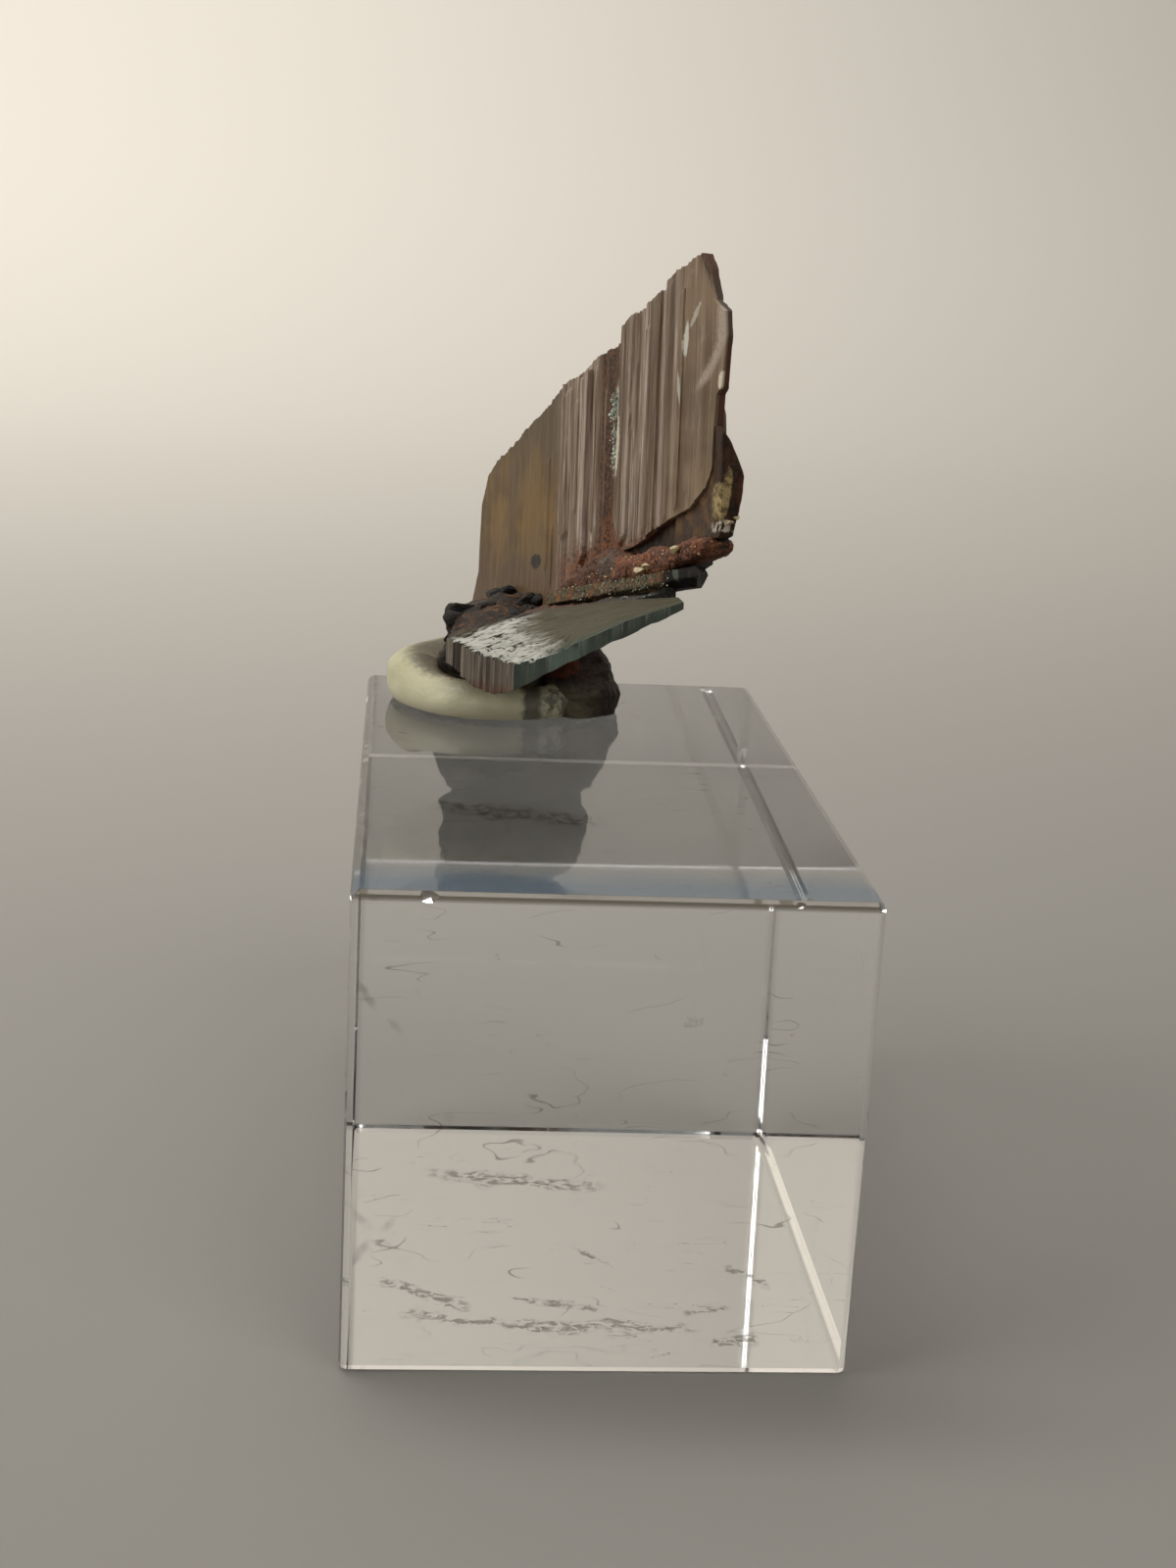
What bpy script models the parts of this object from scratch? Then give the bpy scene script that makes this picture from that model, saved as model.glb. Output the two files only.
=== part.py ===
# A small group of flat, striated brown crystals, held by a lump of putty on a clear block.
# Metres, +Z up. The origin is the middle of the block's underside, +Y runs along the block.
# Every shape below is written and combined in millimetres; finished() scales it to metres.

import bpy
import bmesh
import random
from math import cos, sin, pi, radians
from mathutils import Euler, Matrix, Vector

MM = 0.001
QUARTER_TURN = radians(90)

# Driving dimensions, in millimetres
BLOCK_WIDTH = 25.0
BLOCK_LENGTH = 45.6
BLOCK_HEIGHT = 24.5
BLOCK_EDGE = 0.4
TOUCH_GAP = 0.3
WELD = 0.0005

# The flat crystals share one frame: x along the sheaf, y into its depth, z up the striations
SHEAF_ORIGIN = (1.0, -5.0, 37.0)
SHEAF_TURN = (-3.5, -10.0, -71.0)
SHEAF_BOTTOM, SHEAF_TOP = -6.0, 18.0

PUTTY_CENTRE = (-4.1, 16.1)
PUTTY_REACH = (7.2, 6.6)
PUTTY_TOP = 4.0


def placed(origin, turn=(0.0, 0.0, 0.0)):
    rotation = Euler([radians(angle) for angle in turn], "XYZ").to_matrix().to_4x4()
    return Matrix.Translation(Vector(origin)) @ rotation


BLOCK_TOP = placed((0.0, 0.0, BLOCK_HEIGHT))
SHEAF = placed(SHEAF_ORIGIN, SHEAF_TURN)


def clear_scene():
    for item in list(bpy.data.objects):
        bpy.data.objects.remove(item, do_unlink=True)


def collection(name):
    group = bpy.data.collections.new(name)
    bpy.context.scene.collection.children.link(group)
    return group


def material(name, colour, roughness, transmission=0.0):
    finish = bpy.data.materials.new(name)
    finish.use_nodes = True
    shader = finish.node_tree.nodes["Principled BSDF"]
    shader.inputs["Base Color"].default_value = (*colour, 1.0)
    shader.inputs["Roughness"].default_value = roughness
    shader.inputs["Metallic"].default_value = 0.0
    shader.inputs["Transmission Weight"].default_value = transmission
    return finish


def object_from(bm, name, group, frame=Matrix()):
    bmesh.ops.transform(bm, matrix=frame, verts=bm.verts)
    bmesh.ops.recalc_face_normals(bm, faces=bm.faces)
    mesh = bpy.data.meshes.new(name)
    bm.to_mesh(mesh)
    bm.free()
    item = bpy.data.objects.new(name, mesh)
    group.objects.link(item)
    return item


def evaluated_mesh(item):
    bpy.context.view_layer.update()
    return bpy.data.meshes.new_from_object(item.evaluated_get(bpy.context.evaluated_depsgraph_get()))


def drawn_piece(outline, thickness, frame, group):
    # a closed outline in the frame's x and y, half the thickness on each side of it
    curve = bpy.data.curves.new("outline", "CURVE")
    curve.dimensions = "2D"
    curve.fill_mode = "BOTH"
    curve.extrude = thickness / 2
    spline = curve.splines.new("POLY")
    spline.points.add(len(outline) - 1)
    for point, (x, y) in zip(spline.points, outline):
        point.co = (x, y, 0.0, 1.0)
    spline.use_cyclic_u = True
    drawing = bpy.data.objects.new("outline", curve)
    group.objects.link(drawing)
    bm = bmesh.new()
    bm.from_mesh(evaluated_mesh(drawing))
    bpy.data.objects.remove(drawing, do_unlink=True)
    bmesh.ops.remove_doubles(bm, verts=bm.verts, dist=WELD)
    return object_from(bm, "drawn_piece", group, frame)


def flat_piece(outline, near, far, frame, group):
    # an outline in the frame's x and z, filled between two depths in y
    upright = Matrix.Translation((0.0, (near + far) / 2, 0.0)) @ Matrix.Rotation(QUARTER_TURN, 4, "X")
    return drawn_piece(outline, far - near, frame @ upright, group)


def standing_piece(section, bottom, top, frame, group):
    # a section in the frame's x and y, carried up its z
    lifted = Matrix.Translation((0.0, 0.0, (bottom + top) / 2))
    return drawn_piece(section, top - bottom, frame @ lifted, group)


def chunk(corners, frame, group):
    # a broken or well-formed lump: the convex form around its corners
    bm = bmesh.new()
    for corner in corners:
        bm.verts.new(corner)
    found = bmesh.ops.convex_hull(bm, input=bm.verts)
    loose = {part for part in found["geom_interior"] + found["geom_unused"]
             if isinstance(part, bmesh.types.BMVert)}
    bmesh.ops.delete(bm, geom=list(loose), context="VERTS")
    return object_from(bm, "chunk", group, frame)


def slab(rim, frame, group):
    # a plate under a rim of corners, each with its own thickness down the frame's z
    bm = bmesh.new()
    top = bm.faces.new([bm.verts.new((x, y, z)) for x, y, z, drop in rim])
    grown = bmesh.ops.extrude_face_region(bm, geom=[top])
    under = [part for part in grown["geom"] if isinstance(part, bmesh.types.BMVert)]
    for corner in under:
        nearest = min(rim, key=lambda entry: (Vector(entry[:3]) - corner.co).length)
        corner.co.z -= nearest[3]
    return object_from(bm, "slab", group, frame)


def combine(target, tool, operation):
    change = target.modifiers.new("join", "BOOLEAN")
    change.operation = operation
    change.solver = "EXACT"
    change.object = tool
    result = evaluated_mesh(target)
    target.modifiers.clear()
    target.data = result
    bpy.data.objects.remove(tool, do_unlink=True)
    return target


def fuse(pieces):
    whole = pieces[0]
    for piece in pieces[1:]:
        combine(whole, piece, "UNION")
    return whole


def shells(bm):
    unseen = set(bm.faces)
    while unseen:
        shell = []
        ahead = [unseen.pop()]
        while ahead:
            face = ahead.pop()
            shell.append(face)
            for edge in face.edges:
                for other in edge.link_faces:
                    if other in unseen:
                        unseen.remove(other)
                        ahead.append(other)
        yield shell


def enclosed_volume(shell):
    total = 0.0
    for face in shell:
        first = face.verts[0].co
        for second, third in zip(face.verts[1:], face.verts[2:]):
            total += first.dot(second.co.cross(third.co)) / 6
    return total


def fill_pockets(item):
    # the crystals' sides shut in a few small pockets, which are solid in the real group
    bm = bmesh.new()
    bm.from_mesh(item.data)
    bmesh.ops.triangulate(bm, faces=bm.faces)
    pockets = []
    for shell in shells(bm):
        if enclosed_volume(shell) < 0.0:
            pockets += shell
    bmesh.ops.delete(bm, geom=pockets, context="FACES")
    bm.to_mesh(item.data)
    bm.free()
    return item


def tidy(item):
    bm = bmesh.new()
    bm.from_mesh(item.data)
    bmesh.ops.remove_doubles(bm, verts=bm.verts, dist=WELD)
    bmesh.ops.dissolve_degenerate(bm, edges=bm.edges, dist=WELD)
    bmesh.ops.triangulate(bm, faces=bm.faces)
    bmesh.ops.scale(bm, vec=(MM, MM, MM), verts=bm.verts)
    bm.to_mesh(item.data)
    bm.free()


def finished(item, name, finish, group):
    tidy(item)
    item.name = name
    item.data.name = name
    item.data.materials.clear()
    item.data.materials.append(finish)
    for owner in list(item.users_collection):
        owner.objects.unlink(item)
    group.objects.link(item)
    return item


# The clear block, with worn edges and a few chips along its front and left top edges

CHIPS = [
    # place on the top face's rim (x, y), half length along the edge, depth
    ((-8.9, -22.8), 0.55, 0.5),
    ((8.4, -22.8), 0.35, 0.35),
    ((-12.5, -22.5), 0.45, 0.7),
    ((-12.5, 4.2), 0.5, 0.35),
    ((12.5, -22.6), 0.5, 0.5),
]


def block(group):
    bm = bmesh.new()
    bmesh.ops.create_cube(bm, size=1.0)
    bmesh.ops.scale(bm, vec=(BLOCK_WIDTH, BLOCK_LENGTH, BLOCK_HEIGHT), verts=bm.verts)
    bmesh.ops.bevel(bm, geom=list(bm.edges), offset=BLOCK_EDGE, segments=2, profile=0.5, affect="EDGES")
    body = object_from(bm, "block", group, placed((0.0, 0.0, BLOCK_HEIGHT / 2)))
    for (x, y), half, depth in CHIPS:
        bm = bmesh.new()
        bmesh.ops.create_icosphere(bm, subdivisions=1, radius=1.0)
        bmesh.ops.scale(bm, vec=(half, half, depth), verts=bm.verts)
        bite = object_from(bm, "bite", group, placed((x, y, BLOCK_HEIGHT), (20.0, 35.0, 40.0 * half)))
        combine(body, bite, "DIFFERENCE")
    return body


# The sheaf of flat crystals: a striated section carried upwards, then cut to its outline

LEFT_SECTION = [
    # seen face: nearly smooth, then narrow laths towards the crack
    (-23.2, 0.20), (-21.6, 0.15), (-14.0, 0.10), (-9.3, 0.05), (-9.1, -0.12), (-7.7, -0.06),
    (-7.5, 0.10), (-6.5, 0.12), (-6.3, -0.16), (-5.2, -0.10), (-5.0, 0.14), (-3.7, 0.16),
    (-3.5, 0.04), (-2.7, 0.10), (-2.5, 0.40), (-0.6, 0.45),
    # hidden face: broad low ledges
    (-0.6, 1.50), (-5.9, 1.50), (-6.1, 1.30), (-9.8, 1.35), (-10.0, 1.15), (-14.6, 1.20),
    (-14.8, 1.05), (-19.5, 1.00), (-23.2, 0.45),
]
LEFT_OUTLINE = [
    (-10.6, -3.2), (-23.1, -2.6), (-21.9, -0.4), (-21.7, 3.7), (-20.7, 5.4), (-19.8, 6.0),
    (-16.8, 7.0), (-13.9, 8.1), (-10.6, 9.3), (-9.2, 10.0), (-8.4, 10.1), (-7.4, 10.2),
    (-6.0, 10.7), (-4.3, 11.3), (-3.1, 11.6), (-1.6, 11.6), (-0.8, 8.0), (-0.6, 0.0), (-2.6, -2.4),
]
RIGHT_FRONT_SECTION = [
    (-2.3, 0.22), (-1.3, 0.18), (-1.15, -0.14), (0.20, -0.24), (0.40, 0.00), (1.20, 0.03),
    (1.40, -0.12), (2.30, -0.08), (2.45, -0.20), (3.55, -0.22), (3.75, 0.00), (5.40, 0.04),
    (5.60, -0.08), (8.20, -0.05), (10.4, 0.04), (11.2, 0.12), (11.2, 0.30), (9.6, 0.50), (-2.3, 0.60),
]
RIGHT_FRONT_OUTLINE = [
    (-0.6, 0.7), (-1.6, 3.8), (-2.2, 6.5), (-1.8, 9.5), (-1.3, 11.4), (-1.3, 12.4), (0.4, 13.0),
    (2.0, 13.4), (3.3, 13.9), (3.7, 13.85), (3.9, 14.2), (4.9, 14.6), (6.2, 14.8), (7.9, 15.1),
    (8.5, 14.3), (8.9, 13.4), (9.3, 12.7), (9.8, 12.4), (10.4, 12.1), (10.6, 10.9), (10.3, 8.5),
    (9.9, 8.3), (9.8, 6.4), (9.8, 4.7), (9.2, 3.8), (7.6, 2.8), (5.3, 2.3), (3.8, 1.9),
    (2.7, 1.4), (1.2, 1.0),
]
RIGHT_BACK_SECTION = [
    (-1.6, 0.42), (3.0, 0.45), (3.15, 0.50), (10.6, 0.45), (10.6, 0.95), (8.1, 1.00), (7.9, 1.20),
    (4.6, 1.15), (4.4, 1.35), (1.7, 1.40), (1.5, 1.55), (-1.6, 1.50),
]
RIGHT_BACK_OUTLINE = [
    (-1.5, -1.2), (-1.4, 7.0), (-1.2, 10.6), (1.6, 11.8), (1.8, 10.9), (4.3, 12.2), (4.5, 11.6),
    (7.4, 12.4), (7.9, 10.2), (8.6, 8.2), (9.2, 7.2), (10.1, 1.0), (6.0, -0.6),
]
END_CRYSTAL = [
    # the thick crystal behind the right end; its steep end face looks along the sheaf
    (10.5, 0.0, 6.6), (10.6, 0.6, 5.9), (10.7, 1.05, 5.0), (10.75, 1.35, 4.3), (10.7, 1.15, 2.6),
    (10.57, 0.88, 1.43), (10.42, 0.13, 1.37), (6.23, 0.31, 6.87), (6.05, 1.53, 5.43), (5.63, 1.77, 3.38),
    (5.83, 1.28, 0.83), (5.77, 0.22, 0.77),
]
BACK_LATHS = [
    # from x, to x, bottom, top, depth of the raised face
    (-18.4, -16.2, -2.0, 4.4, 1.35),
    (-12.6, -10.8, -2.2, 7.2, 1.60),
    (-8.4, -7.2, -1.8, 5.8, 1.75),
    (-3.6, -1.9, -1.6, 8.9, 1.90),
    (0.6, 1.5, -0.8, 6.4, 1.85),
    (3.2, 4.2, -0.6, 8.3, 1.70),
]


def sheaf_crystal(section, outline, near, far, group):
    body = standing_piece(section, SHEAF_BOTTOM, SHEAF_TOP, SHEAF, group)
    return combine(body, flat_piece(outline, near, far, SHEAF, group), "INTERSECT")


def back_lath(left, right, bottom, top, face, group):
    slant = (right - left) * 0.45
    root = 0.8
    corners = [(left, root, bottom), (right, root, bottom), (right, root, top + slant), (left, root, top),
               (left + 0.2, face, bottom + 0.2), (right - 0.2, face, bottom + 0.2),
               (right - 0.2, face, top + slant - 0.3), (left + 0.2, face, top - 0.3)]
    return chunk(corners, SHEAF, group)


def sheaf_pieces(group):
    pieces = [
        sheaf_crystal(LEFT_SECTION, LEFT_OUTLINE, -1.0, 2.0, group),
        sheaf_crystal(RIGHT_FRONT_SECTION, RIGHT_FRONT_OUTLINE, -1.0, 2.0, group),
        sheaf_crystal(RIGHT_BACK_SECTION, RIGHT_BACK_OUTLINE, -1.0, 2.2, group),
        chunk(END_CRYSTAL, SHEAF, group),
    ]
    pieces += [back_lath(*lath, group) for lath in BACK_LATHS]
    return pieces


# The rusty crust along the sheaf's foot: a band of seeded lumps on a plain core

CRUST_LINE = [
    # x along the sheaf, middle height, half height, how far it stands proud of the face
    (-9.6, -1.9, 0.55, 0.45), (-6.6, -1.4, 0.70, 0.60), (-4.2, -0.9, 1.00, 0.65),
    (-2.0, -0.4, 1.35, 0.55), (0.2, -0.4, 0.85, 0.65), (3.0, -0.1, 0.75, 0.60),
    (6.0, 0.3, 0.65, 0.50), (8.4, 0.7, 0.55, 0.45), (9.9, 1.0, 0.40, 0.30),
]
CRUST_LUMPS = 26
CRUST_DEPTH = 1.45
CRUST_LAP = 0.21
CRUST_SEED = 7


def along(line, x):
    for first, second in zip(line, line[1:]):
        if x <= second[0]:
            break
    share = (x - first[0]) / (second[0] - first[0])
    return [a + (b - a) * share for a, b in zip(first, second)]


def crust_pieces(group):
    pieces = []
    for first, second in zip(CRUST_LINE, CRUST_LINE[1:]):
        corners = []
        for (x, middle, half, proud), lap in ((first, -CRUST_LAP), (second, CRUST_LAP)):
            corners += [(x + lap, -proud * 0.5, middle + half), (x + lap, -proud, middle - half * 0.3),
                        (x + lap, -proud * 0.4, middle - half), (x + lap, CRUST_DEPTH, middle - half * 0.9),
                        (x + lap, CRUST_DEPTH * 0.9, middle + half * 0.7)]
        pieces.append(chunk(corners, SHEAF, group))
    chance = random.Random(CRUST_SEED)
    start, end = CRUST_LINE[0][0], CRUST_LINE[-1][0]
    for index in range(CRUST_LUMPS):
        x = start + (end - start) * (index + chance.random()) / CRUST_LUMPS
        middle, half, proud = along(CRUST_LINE, x)[1:]
        size = chance.uniform(0.38, 0.62)
        bm = bmesh.new()
        bmesh.ops.create_icosphere(bm, subdivisions=1, radius=size)
        for corner in bm.verts:
            corner.co *= chance.uniform(0.8, 1.15)
        place = (x, -proud * chance.uniform(0.35, 0.9), middle + half * chance.uniform(-0.8, 0.6))
        pieces.append(object_from(bm, "lump", group, SHEAF @ Matrix.Translation(place)))
    return pieces


# The laths below: a dark one under the crust, and the blue-green blade in front of it

DARK_LATH = [
    (9.5, -0.55, -0.05), (9.9, -0.5, -0.5), (9.4, -0.5, -0.9), (7.8, 0.75, 0.0), (8.0, 0.8, -0.5),
    (7.8, 0.7, -0.9), (-6.6, -0.7, -1.5), (-7.0, -0.7, -2.3), (-8.6, 0.7, -1.6), (-8.6, 0.7, -2.4),
]
BRIDGE = [
    # the broken ground between the dark lath and the blue-green blade
    (8.6, -0.3, -0.9), (8.2, 0.4, -1.5), (6.6, -3.7, -2.5), (2.8, -4.5, -2.9), (-0.4, -5.1, -3.4),
    (-4.6, -5.8, -4.0), (-7.6, -0.4, -1.8), (-8.2, 0.9, -3.4), (-6.0, -5.5, -5.2), (1.6, -5.0, -4.4),
    (5.6, -3.9, -3.4),
]
BLUE_BLADE = [
    # corner along, depth and height, then the plate's thickness there
    (-8.4, -6.7, -4.1, 1.3), (-7.9, -6.9, -4.5, 1.25), (-5.4, -6.8, -4.6, 1.6), (-3.5, -6.8, -4.85, 1.8),
    (-0.7, -6.7, -5.1, 1.8), (1.7, -6.6, -5.3, 1.25), (3.0, -6.2, -5.0, 1.1), (5.0, -5.6, -4.4, 0.9),
    (7.3, -4.8, -3.6, 0.8), (9.4, -4.0, -2.8, 0.75), (12.9, -2.9, -1.9, 0.35), (12.1, -2.6, -1.6, 0.35),
    (7.9, -3.3, -1.8, 0.9), (3.1, -4.0, -2.2, 1.4), (-0.1, -4.5, -2.5, 1.8), (-3.7, -5.2, -2.9, 2.0),
]

# The dark root of the group, above and in the putty: places from the middle of the block's top face

ROOT_CHUNKS = [
    # the body of the root, rising forwards over the putty
    [(-7.8, 13.6, 3.9), (-7.9, 5.6, 5.4), (-7.6, 9.6, 6.6), (-6.3, 12.0, 7.5), (-5.9, 14.6, 7.2),
     (-5.2, 4.6, 7.3), (-3.0, 6.0, 8.2), (1.9, 5.4, 8.4), (1.1, 8.6, 5.9), (0.7, 11.4, 4.3),
     (1.2, 13.0, 3.9), (-1.0, 14.5, 6.6), (-6.2, 11.2, 2.3), (-5.4, 16.0, 1.7), (-0.6, 12.0, 2.4)],
    # its forward arm, which carries the blue-green blade
    [(-7.9, 6.0, 5.2), (-7.9, 5.4, 6.3), (-8.0, -1.0, 6.7), (-7.8, -0.6, 6.1), (-5.2, 6.5, 7.4),
     (-5.6, -2.6, 8.5), (-5.2, -3.4, 7.6), (-1.8, 2.0, 8.0), (-1.6, 0.4, 6.8), (-2.2, 6.5, 5.6)],
    # the stump in the putty
    [(1.7, 12.2, 4.2), (2.9, 15.0, 2.7), (3.4, 17.0, 0.5), (1.3, 12.5, 0.5), (-1.2, 11.3, 0.6),
     (-2.4, 11.2, 2.9), (-1.0, 18.0, 3.6), (-2.2, 15.0, 4.3), (0.6, 18.4, 0.8), (-2.6, 17.0, 1.0)],
]
ROOT_BITS = [
    # centre, radius and turn of the broken dark stubs at the left
    ((-7.2, 9.3, 6.3), 0.85, 20.0), ((-6.4, 10.8, 7.2), 0.80, 55.0), ((-5.0, 8.6, 7.6), 0.75, 10.0),
    ((-3.9, 7.4, 8.1), 0.70, 35.0), ((-6.9, 7.4, 6.0), 0.70, 70.0), ((-2.9, 5.8, 8.2), 0.60, 15.0),
    ((-5.9, 6.4, 6.9), 0.60, 40.0), ((1.0, 13.2, 4.1), 0.70, 30.0), ((-3.2, 12.8, 6.9), 0.80, 5.0),
]


def root_pieces(group, swell=0.0):
    pieces = []
    for corners in ROOT_CHUNKS:
        middle = sum((Vector(corner) for corner in corners), Vector()) / len(corners)
        swollen = [Vector(corner) + (Vector(corner) - middle).normalized() * swell for corner in corners]
        pieces.append(chunk(swollen, BLOCK_TOP, group))
    return pieces


def root_bits(group):
    pieces = []
    for place, radius, turn in ROOT_BITS:
        bm = bmesh.new()
        bmesh.ops.create_cube(bm, size=radius * 1.5)
        pieces.append(object_from(bm, "bit", group, BLOCK_TOP @ placed(place, (turn, turn * 0.7, turn))))
    return pieces


def crystal_group(group):
    pieces = sheaf_pieces(group) + crust_pieces(group)
    pieces += [chunk(DARK_LATH, SHEAF, group), chunk(BRIDGE, SHEAF, group), slab(BLUE_BLADE, SHEAF, group)]
    pieces += root_pieces(group) + root_bits(group)
    return fill_pockets(fuse(pieces))


# The putty: a soft lump pressed on the block, lower at its front, hollowed where the root sits

PUTTY_SIDES = 12
PUTTY_RINGS = [
    # height above the block, share of the full reach
    (-0.5, 0.96), (0.1, 0.97), (0.42, 1.02), (0.72, 1.0), (0.95, 0.85), (1.0, 0.52),
]


def putty(group):
    bm = bmesh.new()
    rings = []
    for height, share in PUTTY_RINGS:
        ring = []
        for side in range(PUTTY_SIDES):
            angle = 2 * pi * side / PUTTY_SIDES
            bulge = 1.0 + 0.02 * sin(3 * angle + 0.6) - 0.08 * max(0.0, cos(angle + 0.5))
            x = PUTTY_CENTRE[0] + PUTTY_REACH[0] * share * bulge * cos(angle)
            y = PUTTY_CENTRE[1] + PUTTY_REACH[1] * share * bulge * sin(angle)
            slope = 1.0 - 0.5 * max(0.0, cos(angle + 0.8))
            z = TOUCH_GAP + (PUTTY_TOP - TOUCH_GAP) * height * slope
            ring.append(bm.verts.new((x, y, z)))
        rings.append(ring)
    for lower, upper in zip(rings, rings[1:]):
        for side in range(PUTTY_SIDES):
            after = (side + 1) % PUTTY_SIDES
            bm.faces.new((lower[side], lower[after], upper[after], upper[side]))
    bm.faces.new(rings[0])
    bm.faces.new(rings[-1])
    body = object_from(bm, "putty", group, BLOCK_TOP)
    soft = body.modifiers.new("soft", "SUBSURF")
    soft.levels = 1
    soft.render_levels = 1
    body.data = evaluated_mesh(body)
    body.modifiers.clear()
    bm = bmesh.new()
    bmesh.ops.create_cube(bm, size=30.0)
    combine(body, object_from(bm, "ground", group, BLOCK_TOP @ placed((0.0, 16.0, TOUCH_GAP - 15.0))),
            "DIFFERENCE")
    for cutter in root_pieces(group, swell=2 * TOUCH_GAP):
        combine(body, cutter, "DIFFERENCE")
    return body


def build():
    clear_scene()
    workshop = collection("workshop")
    specimen = collection("crystal_specimen")
    clear_plastic = material("clear_plastic", (0.92, 0.93, 0.92), 0.08, 1.0)
    pale_putty = material("pale_putty", (0.62, 0.60, 0.42), 0.55)
    brown_crystal = material("brown_crystal", (0.17, 0.105, 0.06), 0.35)
    finished(block(workshop), "display_block", clear_plastic, specimen)
    finished(putty(workshop), "mounting_putty", pale_putty, specimen)
    finished(crystal_group(workshop), "crystal_group", brown_crystal, specimen)


build()
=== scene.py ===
import math

import bpy
import numpy as np
from mathutils import Euler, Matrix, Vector


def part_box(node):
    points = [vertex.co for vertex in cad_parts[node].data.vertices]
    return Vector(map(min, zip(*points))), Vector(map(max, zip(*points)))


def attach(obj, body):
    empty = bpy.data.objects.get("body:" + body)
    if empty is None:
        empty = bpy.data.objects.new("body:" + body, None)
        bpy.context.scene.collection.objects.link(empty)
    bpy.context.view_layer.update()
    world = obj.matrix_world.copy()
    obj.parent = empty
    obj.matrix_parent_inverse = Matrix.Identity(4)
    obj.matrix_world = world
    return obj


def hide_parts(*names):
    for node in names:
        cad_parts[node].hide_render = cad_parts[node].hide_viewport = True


# Dresses a small group of flat brown crystals, held by putty on a clear block.
# Shapes are worked out in millimetres and stored in metres.

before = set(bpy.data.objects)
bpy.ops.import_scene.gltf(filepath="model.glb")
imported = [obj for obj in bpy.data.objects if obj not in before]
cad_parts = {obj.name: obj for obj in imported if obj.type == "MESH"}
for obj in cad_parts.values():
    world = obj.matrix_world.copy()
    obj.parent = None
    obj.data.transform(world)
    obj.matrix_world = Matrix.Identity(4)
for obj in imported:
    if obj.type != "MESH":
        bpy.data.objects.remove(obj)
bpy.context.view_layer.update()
millimetre = 0.001
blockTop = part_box("display_block")[1].z / millimetre
topMiddle = np.array((0, 0, blockTop))
print("frame loaded")


# Frames of reference

sheafPlace = {
    "origin": (1, -5, 37),
    "turn": (-3.5, -10, -71),
}
sheafTurn = Euler([math.radians(a) for a in sheafPlace["turn"]], "XYZ").to_matrix()
sheafAxes = np.array(sheafTurn)
sheafOrigin = np.array(sheafPlace["origin"])


def fromSheaf(points):
    # sheaf coordinates: along the sheaf, depth behind its face, height up the striations
    return np.asarray(points, float) @ sheafAxes.T + sheafOrigin


# Numbers that shape the surfaces

def lattice(cellIndex, seed):
    # one fixed random number from 0 to 1 for each whole-number cell
    table = np.random.default_rng(seed).random(8192)
    i = cellIndex.astype(np.int64)
    key = i[..., 0] * 73856093 ^ i[..., 1] * 19349663 ^ i[..., 2] * 83492791
    return table[key & 8191]


def ripple(points, cell, seed):
    # value noise, -1 to 1: cell corners' random numbers blended with a smooth step
    scaled = np.asarray(points, float) / np.asarray(cell, float)
    whole = np.floor(scaled)
    part = scaled - whole
    part = part * part * (3 - 2 * part)
    total = np.zeros(scaled.shape[:-1])
    for corner in np.ndindex(2, 2, 2):
        weight = np.prod(np.where(np.array(corner) == 1, part, 1 - part), axis=-1)
        total += weight * lattice(whole + corner, seed)
    return total * 2 - 1


def grains(points, cell, seed):
    # distance, in cells, to the nearest of one jittered point for each cell
    scaled = np.asarray(points, float) / np.asarray(cell, float)
    whole = np.floor(scaled)
    nearest = np.full(scaled.shape[:-1], 9)
    for cell in np.ndindex(3, 3, 3):
        home = whole + cell - 1
        seedPoint = home + pack(*[lattice(home, seed + k) for k in range(3)])
        nearest = np.minimum(nearest, np.linalg.norm(seedPoint - scaled, axis=-1))
    return nearest


def ledges(across, start, stop, meanWidth, height, seed, soft=0.02):
    # flat steps of random width and height, joined by narrow risers
    rng = np.random.default_rng(seed)
    edges = start + np.cumsum(rng.uniform(0.4, 1.6, int((stop - start) / meanWidth * 1.6) + 4)) * meanWidth
    levels = rng.uniform(-height, height, len(edges) + 1)
    places = pack(edges - soft, edges + soft).ravel()
    heights = np.repeat(levels, 2)[1:-1]
    return np.interp(across, places, heights)


def step(value, low, high):
    share = np.clip((value - low) / (high - low), 0, 1)
    return share * share * (3 - 2 * share)


def follow(table, value):
    # straight lines between (place, amount) pairs
    places, amounts = zip(*table)
    return np.interp(value, places, amounts)


def circle(count):
    return np.linspace(0, 2 * np.pi, count, endpoint=False)


def pack(*parts):
    # matching arrays side by side, as the coordinates of points
    return np.stack(parts, -1)


def columnsAt(where, places, table):
    # each column of a table of points, read off at new places along it
    return pack(*[np.interp(where, places, column) for column in table.T])


# Meshes from grids of points

def quads(rows, cols, ring=False):
    # neighbouring points of a rows by cols grid, as four-sided faces
    index = np.arange(rows * cols).reshape(rows, cols)
    if ring:
        index = np.concatenate([index, index[:, :1]], axis=1)
    return pack(index[:-1, :-1], index[:-1, 1:], index[1:, 1:], index[1:, :-1]).reshape(-1, 4)


def rim(rows, cols):
    # the grid's outer points, in order round its edge
    index = np.arange(rows * cols).reshape(rows, cols)
    return np.concatenate([index[0, :-1], index[:-1, -1], index[-1, :0:-1], index[:0:-1, 0]])


def skinBetween(front, back):
    # two matching grids joined round their edges into one closed skin: front faces, back faces, rim
    rows, cols = front.shape[:2]
    count = rows * cols
    edge = rim(rows, cols)
    after = np.roll(edge, -1)
    facing = quads(rows, cols)
    side = pack(after, edge, edge + count, after + count)
    points = np.concatenate([front.reshape(-1, 3), back.reshape(-1, 3)])
    return points, np.concatenate([facing, facing[:, ::-1] + count, side])


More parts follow.
